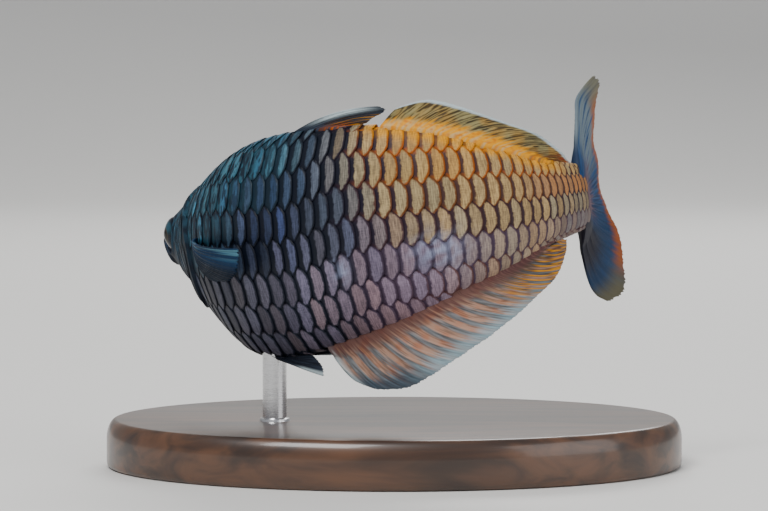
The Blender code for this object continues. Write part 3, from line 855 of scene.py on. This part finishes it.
def plan_scales(hand):
    """Roots of the scales on one flank: (column, row, station, kind)."""
    roots = []
    last = int(COLUMNS[-1])
    for index, row in enumerate(np.arange(-4.5, 5.6, 1.0)):
        for column in np.arange(last) + 0.5 * (index % 2):
            station = float(np.interp(column, COLUMNS, TABLE_STATIONS))
            if is_scaly(station, float(row_arc(station, row))):
                roots.append((column, row, station, 0))
    if hand > 0:
        for kind, first, bases in ((1, NAPE_START, BACK_FIN_ROOTS), (-1, BREAST_START, ANAL_FIN_ROOTS)):
            for column in range(last):
                station = float(np.interp(column, COLUMNS, TABLE_STATIONS))
                on_base = any(low < station < high for low, high in bases)
                if first < station < 0.985 and not on_base:
                    roots.append((column, 0.0, station, kind))
    return np.array(roots)


def scale_outline():
    """Places along and across the points of one scale, which narrows to a point at each side."""
    across = np.linspace(-SCALE_TIP, SCALE_TIP, SCALE_ACROSS)
    far = np.abs(across)
    narrowing = np.clip((far - SCALE_SIDE) / (SCALE_TIP - SCALE_SIDE), 0, 1)
    bulge = 0.07 * (1 - np.minimum(far / SCALE_SIDE, 1) ** 2)
    rear = SCALE_REAR * (1 - narrowing**1.15) + bulge
    front = SCALE_FRONT + (0.06 - SCALE_FRONT) * narrowing**1.6 - 0.02
    along = front[:, None] + (rear - front)[:, None] * np.linspace(0, 1, SCALE_ALONG)
    return along, np.broadcast_to(across[:, None], along.shape)


def each(values):
    """One value for each scale, to go over all of its points."""
    return values[:, None, None]


def ridge_arcs(station, arc, across, kind):
    """Distances along the skin that stop short of the back's and the belly's ridge, apart from those
    of the scales that straddle them."""
    for which, turn in ((1, 0.0), (-1, math.pi)):
        middle = np.interp(station, TABLE_STATIONS, [ridge_arc(s, turn) for s in TABLE_STATIONS])
        inside = which * (arc - middle)
        squeezed = middle + which * 0.5 * (inside + np.sqrt(inside**2 + 4 * RIDGE_ROOM**2))
        arc = np.where(kind == 0, squeezed, arc)
        arc = np.where(kind == which, middle + row_pitch(station) * across * SCALE_TIP, arc)
    return arc


def scale_paint(layer, stations, level, heights, chance, points_at):
    """One layer's colours over all scales: each scale's own, then what crosses the scales."""
    station, height, spots, specks = points_at
    paint = {"face": face_colour, "bar": bar_colour, "net": net_colour}[layer](stations, level)
    if layer == "face":
        paint = paint * (1 + (0.16 + 0.22 * fall(stations, 0.42, 0.62))[:, None] * chance[:, 2:3])
        dull = 0.6 * (chance[:, 0] + 0.3 * chance[:, 1] > 0.5) * fall(stations, 0.50, 0.60)
        paint = wash(paint, NAVY, dull * rise(heights, -11, -5))
        paint = paint * (1 + 0.10 * chance[:, 3:4] * WARMTH)
    fleshy = fleshy_base(station, height) * (0.55 + 0.4 * spots)
    head = fall(station, 0.22, 0.38)
    return layered(
        paint[:, None, None],
        (GOLD, fleshy * (0.25 if layer == "bar" else 1)),
        (INK, 0.4 * head * rise(specks, -0.1, 0.3)),
        (TEAL, 0.5 * head * rise(-specks, 0.1, 0.7) * rise(height, -3, 6)),
        (PALE_BLUE, (0.85 if layer == "face" else 0.6) * pale_patches(station, height, spots)))


def scale_shell(roots, chance, hand):
    """Stations and points of the scales laid over the skin, then the points of their two faces."""
    columns, rows, stations, kinds = roots.T
    along, across = scale_outline()
    column = each(columns) + along * (1 + SCALE_UNEVEN * each(chance[:, 0]))
    station = np.interp(column, COLUMNS, TABLE_STATIONS)
    row = each(rows) + across * (1 + SCALE_UNEVEN * each(chance[:, 1]))
    arc = ridge_arcs(station, row_arc(station, row), across, each(kinds))

    # Scales on the gill cover end at its edge and ride on its lip
    turn = np.degrees(turn_at(stations, row_arc(stations, rows)))
    edge = gill_edge(turn)
    on_cover = stations < edge
    ended = np.minimum(station, each(edge) - 0.001)
    station = np.where(each(on_cover & (turn > NAPE_SIDE)), ended, station)
    points = surface(station, arc, hand)
    normal = surface_normal(station, arc, hand)

    # A scale rises rearwards and is domed, less so near the head and on the tail stalk
    slope = (along - SCALE_FRONT) / (SCALE_REAR - SCALE_FRONT)
    dome = 0.08 * (1 - (across / SCALE_TIP) ** 2) * np.sin(math.pi * np.clip(slope, 0, 1)) ** 0.7
    steep = 1 - 0.55 * rise(stations, 0.85, 1.0) - 0.65 * fall(stations, 0.2, 0.38)
    lift = SCALE_SUNK + (SCALE_LIFT * slope + dome) * each(steep)
    lift = lift * (1 + 0.10 * each(chance[:, 2])) + 0.06 * np.abs(each(kinds))
    lift = lift + cover_rise(station, turn_at(station, arc)) * each(on_cover) - COAT
    share = np.linspace(0, 1, SCALE_ALONG)
    rim = np.minimum(np.minimum(share, 1 - share) * 9, 1)
    rim = np.minimum(rim, (1 - np.abs(across) / SCALE_TIP) * 12 + 0.25)
    thick = SCALE_THICK * (0.35 + 0.65 * rim)
    faces = [points + normal * height[..., None] for height in (lift, lift - thick)]
    return station, points, np.stack(faces, axis=1)


def make_scales(name, roots, hand, material, seed):
    """Thin overlapping plates on the skin, joined in one mesh, with all that their finish reads."""
    _, rows, stations, kinds = roots.T
    chance = np.random.default_rng(seed).uniform(-1, 1, size=(len(roots), 4))
    station, points, shell = scale_shell(roots, chance, hand)
    size = 2 * SCALE_ACROSS * SCALE_ALONG
    quads = plate_quads(SCALE_ACROSS, SCALE_ALONG)
    if hand > 0:
        quads = quads[:, ::-1]
    faces = (quads + each(np.arange(len(roots)) * size)).reshape(-1, 4)
    made = make_mesh(name, posed(shell), faces.tolist(), material)

    def both_faces(values, width):
        """Values over each scale's upper points, given to its lower points too."""
        values = np.broadcast_to(values, (*station.shape, width))
        return np.stack([values, values], axis=1).reshape(-1, width)

    root_arc = row_arc(stations, rows)
    heights = surface(stations, root_arc, hand)[:, 2]
    level = level_at(stations, heights)
    width = face_width(stations, level)
    streaky_end = 0.41 + 0.11 * rise(level, 0.2, 0.8) - 0.16 * rise(-level, 0.0, 0.5)
    streaky = 0.9 * fall(stations, streaky_end - 0.16, streaky_end + 0.02)
    for layer, values in (("face_width", width), ("face_place", 0.475 - width), ("streaky", streaky)):
        add_layer(made.data, layer, "FLOAT", "value", np.repeat(values, size))
    along, across = scale_outline()
    lie = np.stack(np.broadcast_arrays(along, across, each(chance[:, 3])), axis=-1)
    add_layer(made.data, "lie", "FLOAT_VECTOR", "vector", both_faces(lie, 3))

    # Scales that straddle the back or the belly take the ridge's own paint
    heights = np.where(kinds > 0, back_height(stations), heights)
    heights = np.where(kinds < 0, -belly_depth(stations), heights)
    level = level_at(stations, heights)
    points_at = (station, points[..., 2], noise(points, 1.1, 4), speckle(points, 8))
    for layer in ("face", "bar", "net"):
        paint = scale_paint(layer, stations, level, heights, chance, points_at)
        add_colour(made.data, layer, both_faces(paint, 3))

    # On the unwrap each scale has a small patch of its own
    down = 0.5 + hand * (0.25 + root_arc / 110)
    down = np.where(kinds > 0, 0.035, np.where(kinds < 0, 0.5, down))
    middle = np.stack([0.02 + 0.96 * stations / 1.05, down], axis=-1)
    patch = np.stack([(along - SCALE_FRONT) / (SCALE_REAR + 0.1 - SCALE_FRONT),
                      across / (2 * SCALE_TIP)], axis=-1)
    add_uv(made.data, both_faces(middle[:, None, None] + patch * PATCH, 2))
    return made


# Fins. u is 0 on a fin's first ray and 1 on its last, and a share is 0 at a ray's root and 1 at its tip

WEB_HALF = 0.13
RAY_HALF = 0.2
FIN_NOTCH = 0.02
FIN_WAVE = 0.12
POINTS_PER_RAY = 14
POINTS_ALONG_RAY = 46


def ray_path(length, start, end, share):
    """Rearward and outward travel along a ray that bends evenly from one angle to another."""
    bend = np.where(np.abs(end - start) < 0.001, 0.001, end - start)
    angle = start + bend * share
    rear = length * (np.sin(angle) - np.sin(start)) / bend
    out = -length * (np.cos(angle) - np.cos(start)) / bend
    return rear, out


def ray_mask(ray, share):
    """1 on the rays, which fork twice on their way out, and 0 on the membrane between them."""
    fork = 0.22 * rise(share, 0.15, 0.7)
    twig = 0.085 * rise(share, 0.4, 0.9)
    away = np.abs(np.abs(np.abs(ray - np.round(ray)) - fork) - twig)
    return bell(away, 0.11 - 0.055 * rise(share, 0.1, 0.8))


def make_fin(name, rays, centre, paint, material, root_half, seed):
    """A fin of thin membrane with raised, forked rays on both faces."""
    columns = np.linspace(0, rays - 1, (rays - 1) * POINTS_PER_RAY + 1)
    shares = np.append(-0.10, np.linspace(0, 1, POINTS_ALONG_RAY))
    ray, share = np.meshgrid(columns, shares, indexing="ij")
    tip = ray_mask(columns, np.ones(len(columns)))[:, None]
    ends = np.random.default_rng(seed).uniform(-1, 0.4, rays)
    ends = np.interp(columns, np.arange(rays), ends)[:, None]
    reach = 1 - (FIN_NOTCH * (1 - tip) - 0.016 * ends) * rise(share, 0.3, 1)
    middle = centre(ray, share * reach)
    normal = unit(np.cross(np.gradient(middle, axis=1), np.gradient(middle, axis=0)))
    bend = np.sin(ray * 1.9 + 2.2 * share + seed) * rise(share, 0.25, 1)
    middle = middle + normal * (FIN_WAVE * bend)[..., None]
    mask = ray_mask(ray, share)
    half = WEB_HALF * (1 - 0.45 * share) + RAY_HALF * mask * (1 - 0.75 * share)
    half = np.maximum(half, root_half * np.clip(1 - share * 4.0, 0, 1) ** 0.8)
    half = half * (1 - 0.6 * rise(share, 0.9, 1.0))
    half = half * (1 + 0.18 * mask * np.sin(share * 110) * rise(share, 0.2, 0.5))
    rise_out = normal * half[..., None]
    made = make_mesh(name, posed(np.concatenate([middle + rise_out, middle - rise_out])),
                     plate_quads(*ray.shape).tolist(), material)
    streak = noise(np.stack([ray * 2.6, share * 0.9], axis=-1), 1.0, seed)
    colours = paint(ray / (rays - 1), np.clip(share, 0, 1), mask, streak, middle)
    add_colour(made.data, "paint", np.concatenate([colours, colours]))
    return made


def median_centre(rays, roots, edge, *curves):
    """The middle of a fin on the back, where edge is 1, or under the tail, where it is -1. The curves
    are the rays' lengths, and their degrees out from straight back at the root and at the tip."""
    profile = back_height if edge > 0 else belly_depth
    length, start, end = (smooth_curve(points) for points in curves)

    def centre(ray, share):
        u = ray / (rays - 1)
        root = roots[0] + (roots[1] - roots[0]) * u
        rear, out = ray_path(length(u), np.radians(start(u)), np.radians(end(u)), share)
        station = root + rear / BODY_LENGTH
        height = profile(root) + out + 9 * np.minimum(share, 0)
        clear = np.maximum(height - profile(station) + 0.2, 0)
        height = height - clear * rise(u, 0.9, 1.0) * fall(share, 0.45, 1.0)
        return place(station, 0, edge * height)

    return centre


FIRST_DORSAL = median_centre(
    6, (0.462, 0.560), 1, ((0, 14.5), (0.2, 13.5), (0.6, 8.0), (1, 3.4)),
    ((0, 24), (1, 4)), ((0, -6), (1, -3)))
SECOND_DORSAL = median_centre(
    13, (0.628, 0.918), 1, ((0, 3.4), (0.1, 6.1), (0.3, 7.0), (0.58, 9.3), (0.8, 7.8), (1, 5.0)),
    ((0, 50), (0.2, 34), (0.45, 18), (0.8, 4), (1, -7)), ((0, 32), (0.25, 6), (0.5, -11), (1, -15)))
ANAL = median_centre(
    20, (0.479, 0.905), -1, ((0, 6.2), (0.05, 8.9), (0.15, 10.9), (0.3, 10.4), (0.45, 10.1),
                             (0.7, 9.25), (0.79, 8.6), (0.9, 6.1), (1, 3.1)),
    ((0, 74), (0.2, 54), (0.5, 38), (0.8, 26), (1, 10)),
    ((0, 36), (0.2, 22), (0.5, 10), (0.8, -4), (1, -16)))

TAIL_RAYS = 17
TAIL_SPREAD = (60.0, 30.0)
tail_ray_length = smooth_curve(((0, 10.5), (0.3, 11.8), (0.6, 16.0), (0.85, 19.4), (1.0, 18.0)))
tail_side = smooth_curve((
    (-15, -9.4), (-12, -5.8), (-9, -3.5), (-7, -2.4), (-5, -1.1), (-3, -0.25), (0, 0), (4, -0.1),
    (6.7, -0.45), (10.3, -1.15), (12.3, -1.8), (15, -3.4), (17.5, -3.1)))
tail_turn = smooth_curve((
    (-15, 0.68), (-12, 0.48), (-9, 0.36), (-7, 0.30), (-5, 0.21), (-2.5, 0.07), (0, 0), (6.7, 0),
    (10.3, 0.065), (12.3, 0.115), (15, 0.27), (17.5, 0.33)))


def tail_centre(ray, share):
    across = 1 - 2 * ray / (TAIL_RAYS - 1)
    tall = np.where(across > 0, back_height(1.0), belly_depth(1.0))
    across_root = across * (1 - 0.5 / tall)
    root = 1.0 + (GAP - STALK_END_BULGE * across_root**2) / BODY_LENGTH
    start, end = (np.radians(spread * across) for spread in TAIL_SPREAD)
    rear, out = ray_path(tail_ray_length(np.abs(across)), start, end, share)
    height = across_root * tall + out
    side = tail_side(height) + tail_turn(height) * rear
    return place(root + rear / BODY_LENGTH, side, height)


# Paired fins: rays, the root's station and height, its run rearwards, down and out, the rays' lengths,
# and for each side the rays' degrees down and a ray's flare at its root and tip
PECTORAL = (11, (0.262, 1.2), (0.5, 2.6, 0.0), ((0, 16.5), (0.25, 15.5), (0.6, 10.3), (1, 4.6)),
            (((0, 5), (1, 42)), ((0, 5), (1, 50))), ((42, 6), (50, 46)))
PELVIC = (6, (0.355, -16.9), (1.6, 0.3, -0.9), ((0, 11.2), (0.3, 10.0), (1, 5.5)),
          (((0, 16), (1, -4)), ((0, 3), (1, -8))), ((10, 0), (14, 14)))


def paired_centre(hand, rays, base, root_run, lengths, angles, flares):
    """The middle of one fin of a pair."""
    station, height = base
    way = float(heading(station))
    rear = np.array([math.cos(way), math.sin(way), 0])
    side = np.array([hand * math.sin(way), -hand * math.cos(way), 0])
    up = np.array([0, 0, 1.0])
    start = place(station, hand * (flank_side(station, height) - 0.2), height)
    run = root_run[0] * rear - root_run[1] * up + root_run[2] * side
    length, angle_at = smooth_curve(lengths), smooth_curve(angles[hand < 0])
    flare_root, flare_tip = flares[hand < 0]

    def centre(ray, share):
        u = ray / (rays - 1)
        angle = np.radians(angle_at(u))
        flare = np.radians(flare_root + (flare_tip - flare_root) * share)
        ahead = (np.cos(angle) * np.cos(flare))[..., None] * rear
        down = (np.sin(angle) * np.cos(flare))[..., None] * up
        way_out = ahead - down + np.sin(flare)[..., None] * side
        return start + u[..., None] * run + (length(u) * share)[..., None] * way_out

    return centre


# Paint of the fins


def first_dorsal_paint(u, share, mask, streak, points):
    return layered(
        SMOKE,
        (INK, 0.9 * rise(streak, -0.4, 0.3)),
        (GOLD * 0.6, 0.8 * rise(u, 0.3, 0.6) * rise(streak, 0.0, 0.5) * rise(share, 0.1, 0.3)),
        (ORANGE, 0.8 * rise(u, 0.4, 0.9) * fall(share, 0.2, 0.7) * rise(streak, -0.4, 0.4)),
        (WHITE, fall(u, 0.12, 0.36) * band(share, 0.25, 0.85, 0.2)))


def second_dorsal_paint(u, share, mask, streak, points):
    lines = np.sin(2 * math.pi * 42 * u + 3.5 * streak)
    base = fall(share + 0.12 * streak, 0.10, 0.34)
    return layered(
        OLIVE,
        (AMBER, 0.5 * rise(noise(points, 2.5, 3), -0.3, 0.7)),
        (BROWN, 0.85 * rise(lines + 0.6 * streak, -0.4, 0.6) * rise(share, 0.12, 0.35)),
        (GOLD, base),
        (SAND * 1.6, 0.8 * base * rise(streak, -0.3, 0.4)),
        (ORANGE, 0.5 * base * rise(noise(points, 0.9, 9), 0.0, 0.7)),
        (RUST, 0.8 * rise(u, 0.75, 0.92) * fall(share, 0.5, 0.9) * rise(streak, -0.5, 0.3)),
        (RED, 0.8 * rise(u, 0.8, 0.95) * rise(share, 0.55, 0.8) * rise(streak, -0.4, 0.4)),
        (WHITE, 0.95 * rise(share, 0.84, 0.93) * (1 - 0.5 * rise(u, 0.88, 0.97))))


def anal_paint(u, share, mask, streak, points):
    wave = 19 * 2 * math.pi * u + 1.2 * streak
    fine = rise(np.sin(2 * wave + 2.5 * streak), 0.3, 0.95)
    rear = rise(u, 0.55, 0.8)
    return layered(
        SALMON,
        (COPPER, 0.35 * rise(noise(points, 2.6, 7), -0.1, 0.8)),
        (GREY_BLUE, 0.85 * rise(np.cos(wave), -0.3, 0.6) * rise(share, 0.06, 0.25)),
        ((CYAN + WHITE) * 0.5, 0.75 * rise(share - 0.12 * streak, 0.62, 0.92) * (1 - rear)),
        (BROWN, 0.42 * fine * (1 - 0.5 * rise(share, 0.7, 0.95))),
        (BROWN, 0.8 * rear * rise(streak, -0.6, 0.1)),
        (GOLD, 0.95 * rear * rise(streak, 0.0, 0.5) * rise(share, 0.15, 0.5)),
        (SMOKE, 0.85 * fall(u, 0.12, 0.26) * rise(share, 0.5, 0.85)),
        (WHITE, 0.6 * fall(u, 0.01, 0.04)),
        (WINE, 0.75 * fall(share + 0.12 * streak, 0.05, 0.25)))


def tail_paint(u, share, mask, streak, points):
    """u runs from the top ray to the bottom one."""
    edge = rise(share + 0.05 * streak, 0.74, 0.95)
    root = fall(share + 0.15 * streak, 0.15, 0.45)
    lower = 0.8 + 0.2 * rise(streak, -0.4, 0.4)
    return layered(
        BLUE,
        (DEEP_BLUE, 0.7 * rise(streak, -0.4, 0.4)),
        (SMOKE, 0.5 * mask * fall(u, 0.4, 0.6)),
        (BLUE * 0.45, 0.9 * rise(u, 0.5, 0.66) * lower),
        (ROSE * 0.8, 0.7 * root * band(u, 0.2, 0.7, 0.1)),
        (BROWN, 0.8 * rise(u, 0.72, 0.86) * fall(share, 0.35, 0.75)),
        (GREY_BLUE * 1.3, 0.9 * fall(u, 0.18, 0.4) * rise(share, 0.1, 0.4) * rise(streak, -0.9, 0.1)),
        (ORANGE * 0.75, 0.8 * edge * band(u, 0.10, 0.86, 0.04)),
        (OLIVE * 0.5, 0.75 * rise(share, 0.66, 0.95) * rise(u, 0.80, 0.93)),
        (OLIVE * 0.6, 0.7 * rise(share, 0.72, 0.95) * fall(u, 0.08, 0.16)))


def pectoral_paint(u, share, mask, streak, points):
    return layered(
        NAVY,
        (INK, 0.8 * rise(streak, -0.2, 0.5)),
        (BLUE * 0.5, 0.9 * fall(u, 0.05, 0.45) * rise(streak, -0.9, 0.2)),
        (CYAN * 0.7, fall(u, 0.03, 0.2) * rise(streak, -0.1, 0.5) * rise(share, 0.1, 0.4)))


def pelvic_paint(u, share, mask, streak, points):
    return layered(
        INK,
        (SMOKE, 0.4 * rise(streak, -0.2, 0.5)),
        (WHITE, 0.6 * fall(u, 0.08, 0.2) * rise(share, 0.45, 0.75)))


# Eyes


def make_eye(hand, word, material):
    """A ball flattened along its look, with its pupil, iris and rim painted on, and a painted highlight.
    """
    centre, way = eye_frame(hand)
    side = unit(np.cross(way, np.array((0, 0, 1.0))))
    up = np.cross(side, way)
    polar = np.linspace(0, math.pi, EYE_RINGS)[1:-1]
    polar, turn = np.meshgrid(polar, full_turn(EYE_AROUND), indexing="ij")
    radius = EYE_RADIUS * np.sin(polar)
    depth = EYE_DEPTH * np.cos(polar)
    cap = EYE_CAP * bell(radius, 1.3) * (depth > 0)
    out = np.cos(turn)[..., None] * side + np.sin(turn)[..., None] * up
    points = centre + radius[..., None] * out + (depth + cap)[..., None] * way
    poles = [centre + (EYE_DEPTH + EYE_CAP) * way, centre - EYE_DEPTH * way]
    made = make_mesh(f"eye_{word}_glass", posed(np.concatenate([points.reshape(-1, 3), poles])),
                     pointed_faces(len(points), EYE_AROUND), material)
    paint = layered(
        IRIS,
        # The iris is dark below and teal above; the teal is a painted highlight
        (INK, fall(np.sin(turn), -0.4, 0.3)),
        (TEAL * 0.6, 0.9 * rise(np.sin(turn), 0.0, 0.7)),
        (INK, rise(radius, 2.0, 2.45)),
        (IRIS_RING, band(radius, PUPIL_RADIUS + 0.04, PUPIL_RADIUS + 0.16, 0.05)),
        (PUPIL, fall(radius, PUPIL_RADIUS - 0.04, PUPIL_RADIUS + 0.04)),
        (INK, depth < 0))
    add_colour(made.data, "paint", np.concatenate([paint.reshape(-1, 3), [PUPIL, INK]]))
    return made


# Stand


def make_base():
    """An oval board with a small bevel at its foot and a rounded top edge."""
    wide, deep, top = BASE_SIZE
    profile = [(0.0, 0.5), (0.35, 0.08), (0.9, 0.0), (BASE_WALL, 0.0)]
    for angle in np.linspace(0, 1, 12)[1:] * math.pi / 2:
        height = BASE_WALL + (top - BASE_WALL) * math.sin(angle)
        profile.append((height, BASE_ROUND * (1 - math.cos(angle))))
    rings = [(wide / 2 - inset, deep / 2 - inset, height) for height, inset in profile]
    return make_turned("stand_base_wood", (0, 0), rings, BASE_AROUND, wood_material(), 50)


def make_rod():
    """A rod with a small collar on the base, up into the belly."""
    middle = posed(place(ROD_STATION, 0, -belly_depth(ROD_STATION)))
    top = BASE_SIZE[2]
    profile = ((top - 1.0, 0), (top, 0.5), (top + 0.35, 0.4), (top + 0.5, 0), (ROD_TOP, 0))
    rings = [(ROD_RADIUS + more, ROD_RADIUS + more, height) for height, more in profile]
    return make_turned("stand_rod_steel", middle, rings, ROD_AROUND, steel_material(), 40)


# Pieces


def add_piece(piece, slot, *solids):
    """Make a piece move with the root and hide the solids it stands for. The slot is not used."""
    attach(piece, "root")
    if solids:
        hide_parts(*solids)


SIDES = ((1, "left"), (-1, "right"))

add_piece(make_skin(), "trunk_skin", "head", "lower_jaw", "trunk", "hindbody", "tail_stalk")

scales = scale_material()
for hand, word in SIDES:
    roots = plan_scales(hand)
    for number, (part, low, high, slot) in enumerate((("front", 0.0, 0.5, "trunk_skin"),
                                                      ("rear", 0.5, 2.0, "hindbody_skin"))):
        chosen = roots[(roots[:, 2] >= low) & (roots[:, 2] < high)]
        coat = make_scales(f"scales_{word}_{part}", chosen, hand, scales, 11 + hand + number)
        add_piece(coat, slot)

fin_finish = painted_material("fin", 0.55, 900.0, 0.35)
MEDIAN_FINS = (("first_dorsal", 6, FIRST_DORSAL, first_dorsal_paint, 0.5),
               ("second_dorsal", 13, SECOND_DORSAL, second_dorsal_paint, 0.8),
               ("anal", 20, ANAL, anal_paint, 0.8),
               ("tail", TAIL_RAYS, tail_centre, tail_paint, 0.9))
for number, (name, rays, centre, paint, root_half) in enumerate(MEDIAN_FINS):
    fin = make_fin(f"{name}_fin_skin", rays, centre, paint, fin_finish, root_half, number + 2)
    add_piece(fin, f"{name}_web", f"{name}_fin")
for hand, word in SIDES:
    for name, shape, paint in (("pectoral", PECTORAL, pectoral_paint), ("pelvic", PELVIC, pelvic_paint)):
        rays, centre = shape[0], paired_centre(hand, *shape)
        fin = make_fin(f"{name}_fin_{word}_skin", rays, centre, paint, fin_finish, 0.4, rays)
        add_piece(fin, f"{name}_web", f"{name}_fin_{word}")

glass = painted_material("eye glass", 0.2, 300.0, 0.0)
for hand, word in SIDES:
    add_piece(make_eye(hand, word, glass), "eye", f"eye_{word}")

add_piece(make_base(), "stand_wood", "stand_base")
add_piece(make_rod(), "stand_steel", "stand_rod")

# Stage

KEY_LIGHT = ((-0.25, -0.45, 0.65), (0.35, 0.35), 5.6)
FILL_LIGHT = ((0.55, -0.35, 0.25), (0.5, 0.5), 1.6)
BACK_LIGHT = ((0.1, 0.6, 0.5), (0.5, 0.3), 3.2)
FLOOR_HALF = 2200
FLOOR_FRONT = -1500
FLOOR_REAR = 700
SWEEP_RADIUS = 500


def aim(thing, place_at, target):
    """Put a lamp or the camera at a place, looking at a target."""
    thing.location = place_at
    thing.rotation_euler = (target - Vector(place_at)).to_track_quat("-Z", "Y").to_euler()


def area_light(name, place_at, size, power, target):
    data = bpy.data.lights.new(name, "AREA")
    data.shape = "RECTANGLE"
    data.size, data.size_y = size
    data.energy = power
    made = add_thing(name, data)
    aim(made, place_at, target)
    return made


floor_material, floor_finish = new_material("pale floor")
floor_finish.shade(Base_Color=(0.74, 0.73, 0.70, 1), Roughness=0.7)
sweep = [(FLOOR_FRONT, 0), (FLOOR_REAR, 0)]
for angle in np.linspace(0, math.pi / 2, 24)[1:]:
    sweep.append((FLOOR_REAR + SWEEP_RADIUS * math.sin(angle), SWEEP_RADIUS * (1 - math.cos(angle))))
sweep.append((FLOOR_REAR + SWEEP_RADIUS, 2200))
floor_points = np.array([(x, y, z) for y, z in sweep for x in (-FLOOR_HALF, FLOOR_HALF)], float)
floor = make_mesh("floor", floor_points, grid_quads(len(sweep), 2).tolist(), floor_material)

target = Vector(LOOK_AT) * MM
lights = [area_light(name, *light, target)
          for name, light in (("key", KEY_LIGHT), ("fill", FILL_LIGHT), ("back", BACK_LIGHT))]

world = bpy.data.worlds.new("studio")
world.use_nodes = True
world.node_tree.nodes["Background"].inputs["Color"].default_value = (0.92, 0.94, 1.0, 1)
world.node_tree.nodes["Background"].inputs["Strength"].default_value = 0.44
bpy.context.scene.world = world

camera_data = bpy.data.cameras.new("camera")
camera_data.lens = LENS
camera_data.sensor_width = SENSOR
camera = add_thing("camera", camera_data)
look_lean = math.radians(LOOK_DOWN)
look_back = Vector((0, -math.cos(look_lean), math.sin(look_lean)))
aim(camera, target + look_back * LOOK_FROM * MM, target)
bpy.context.scene.camera = camera
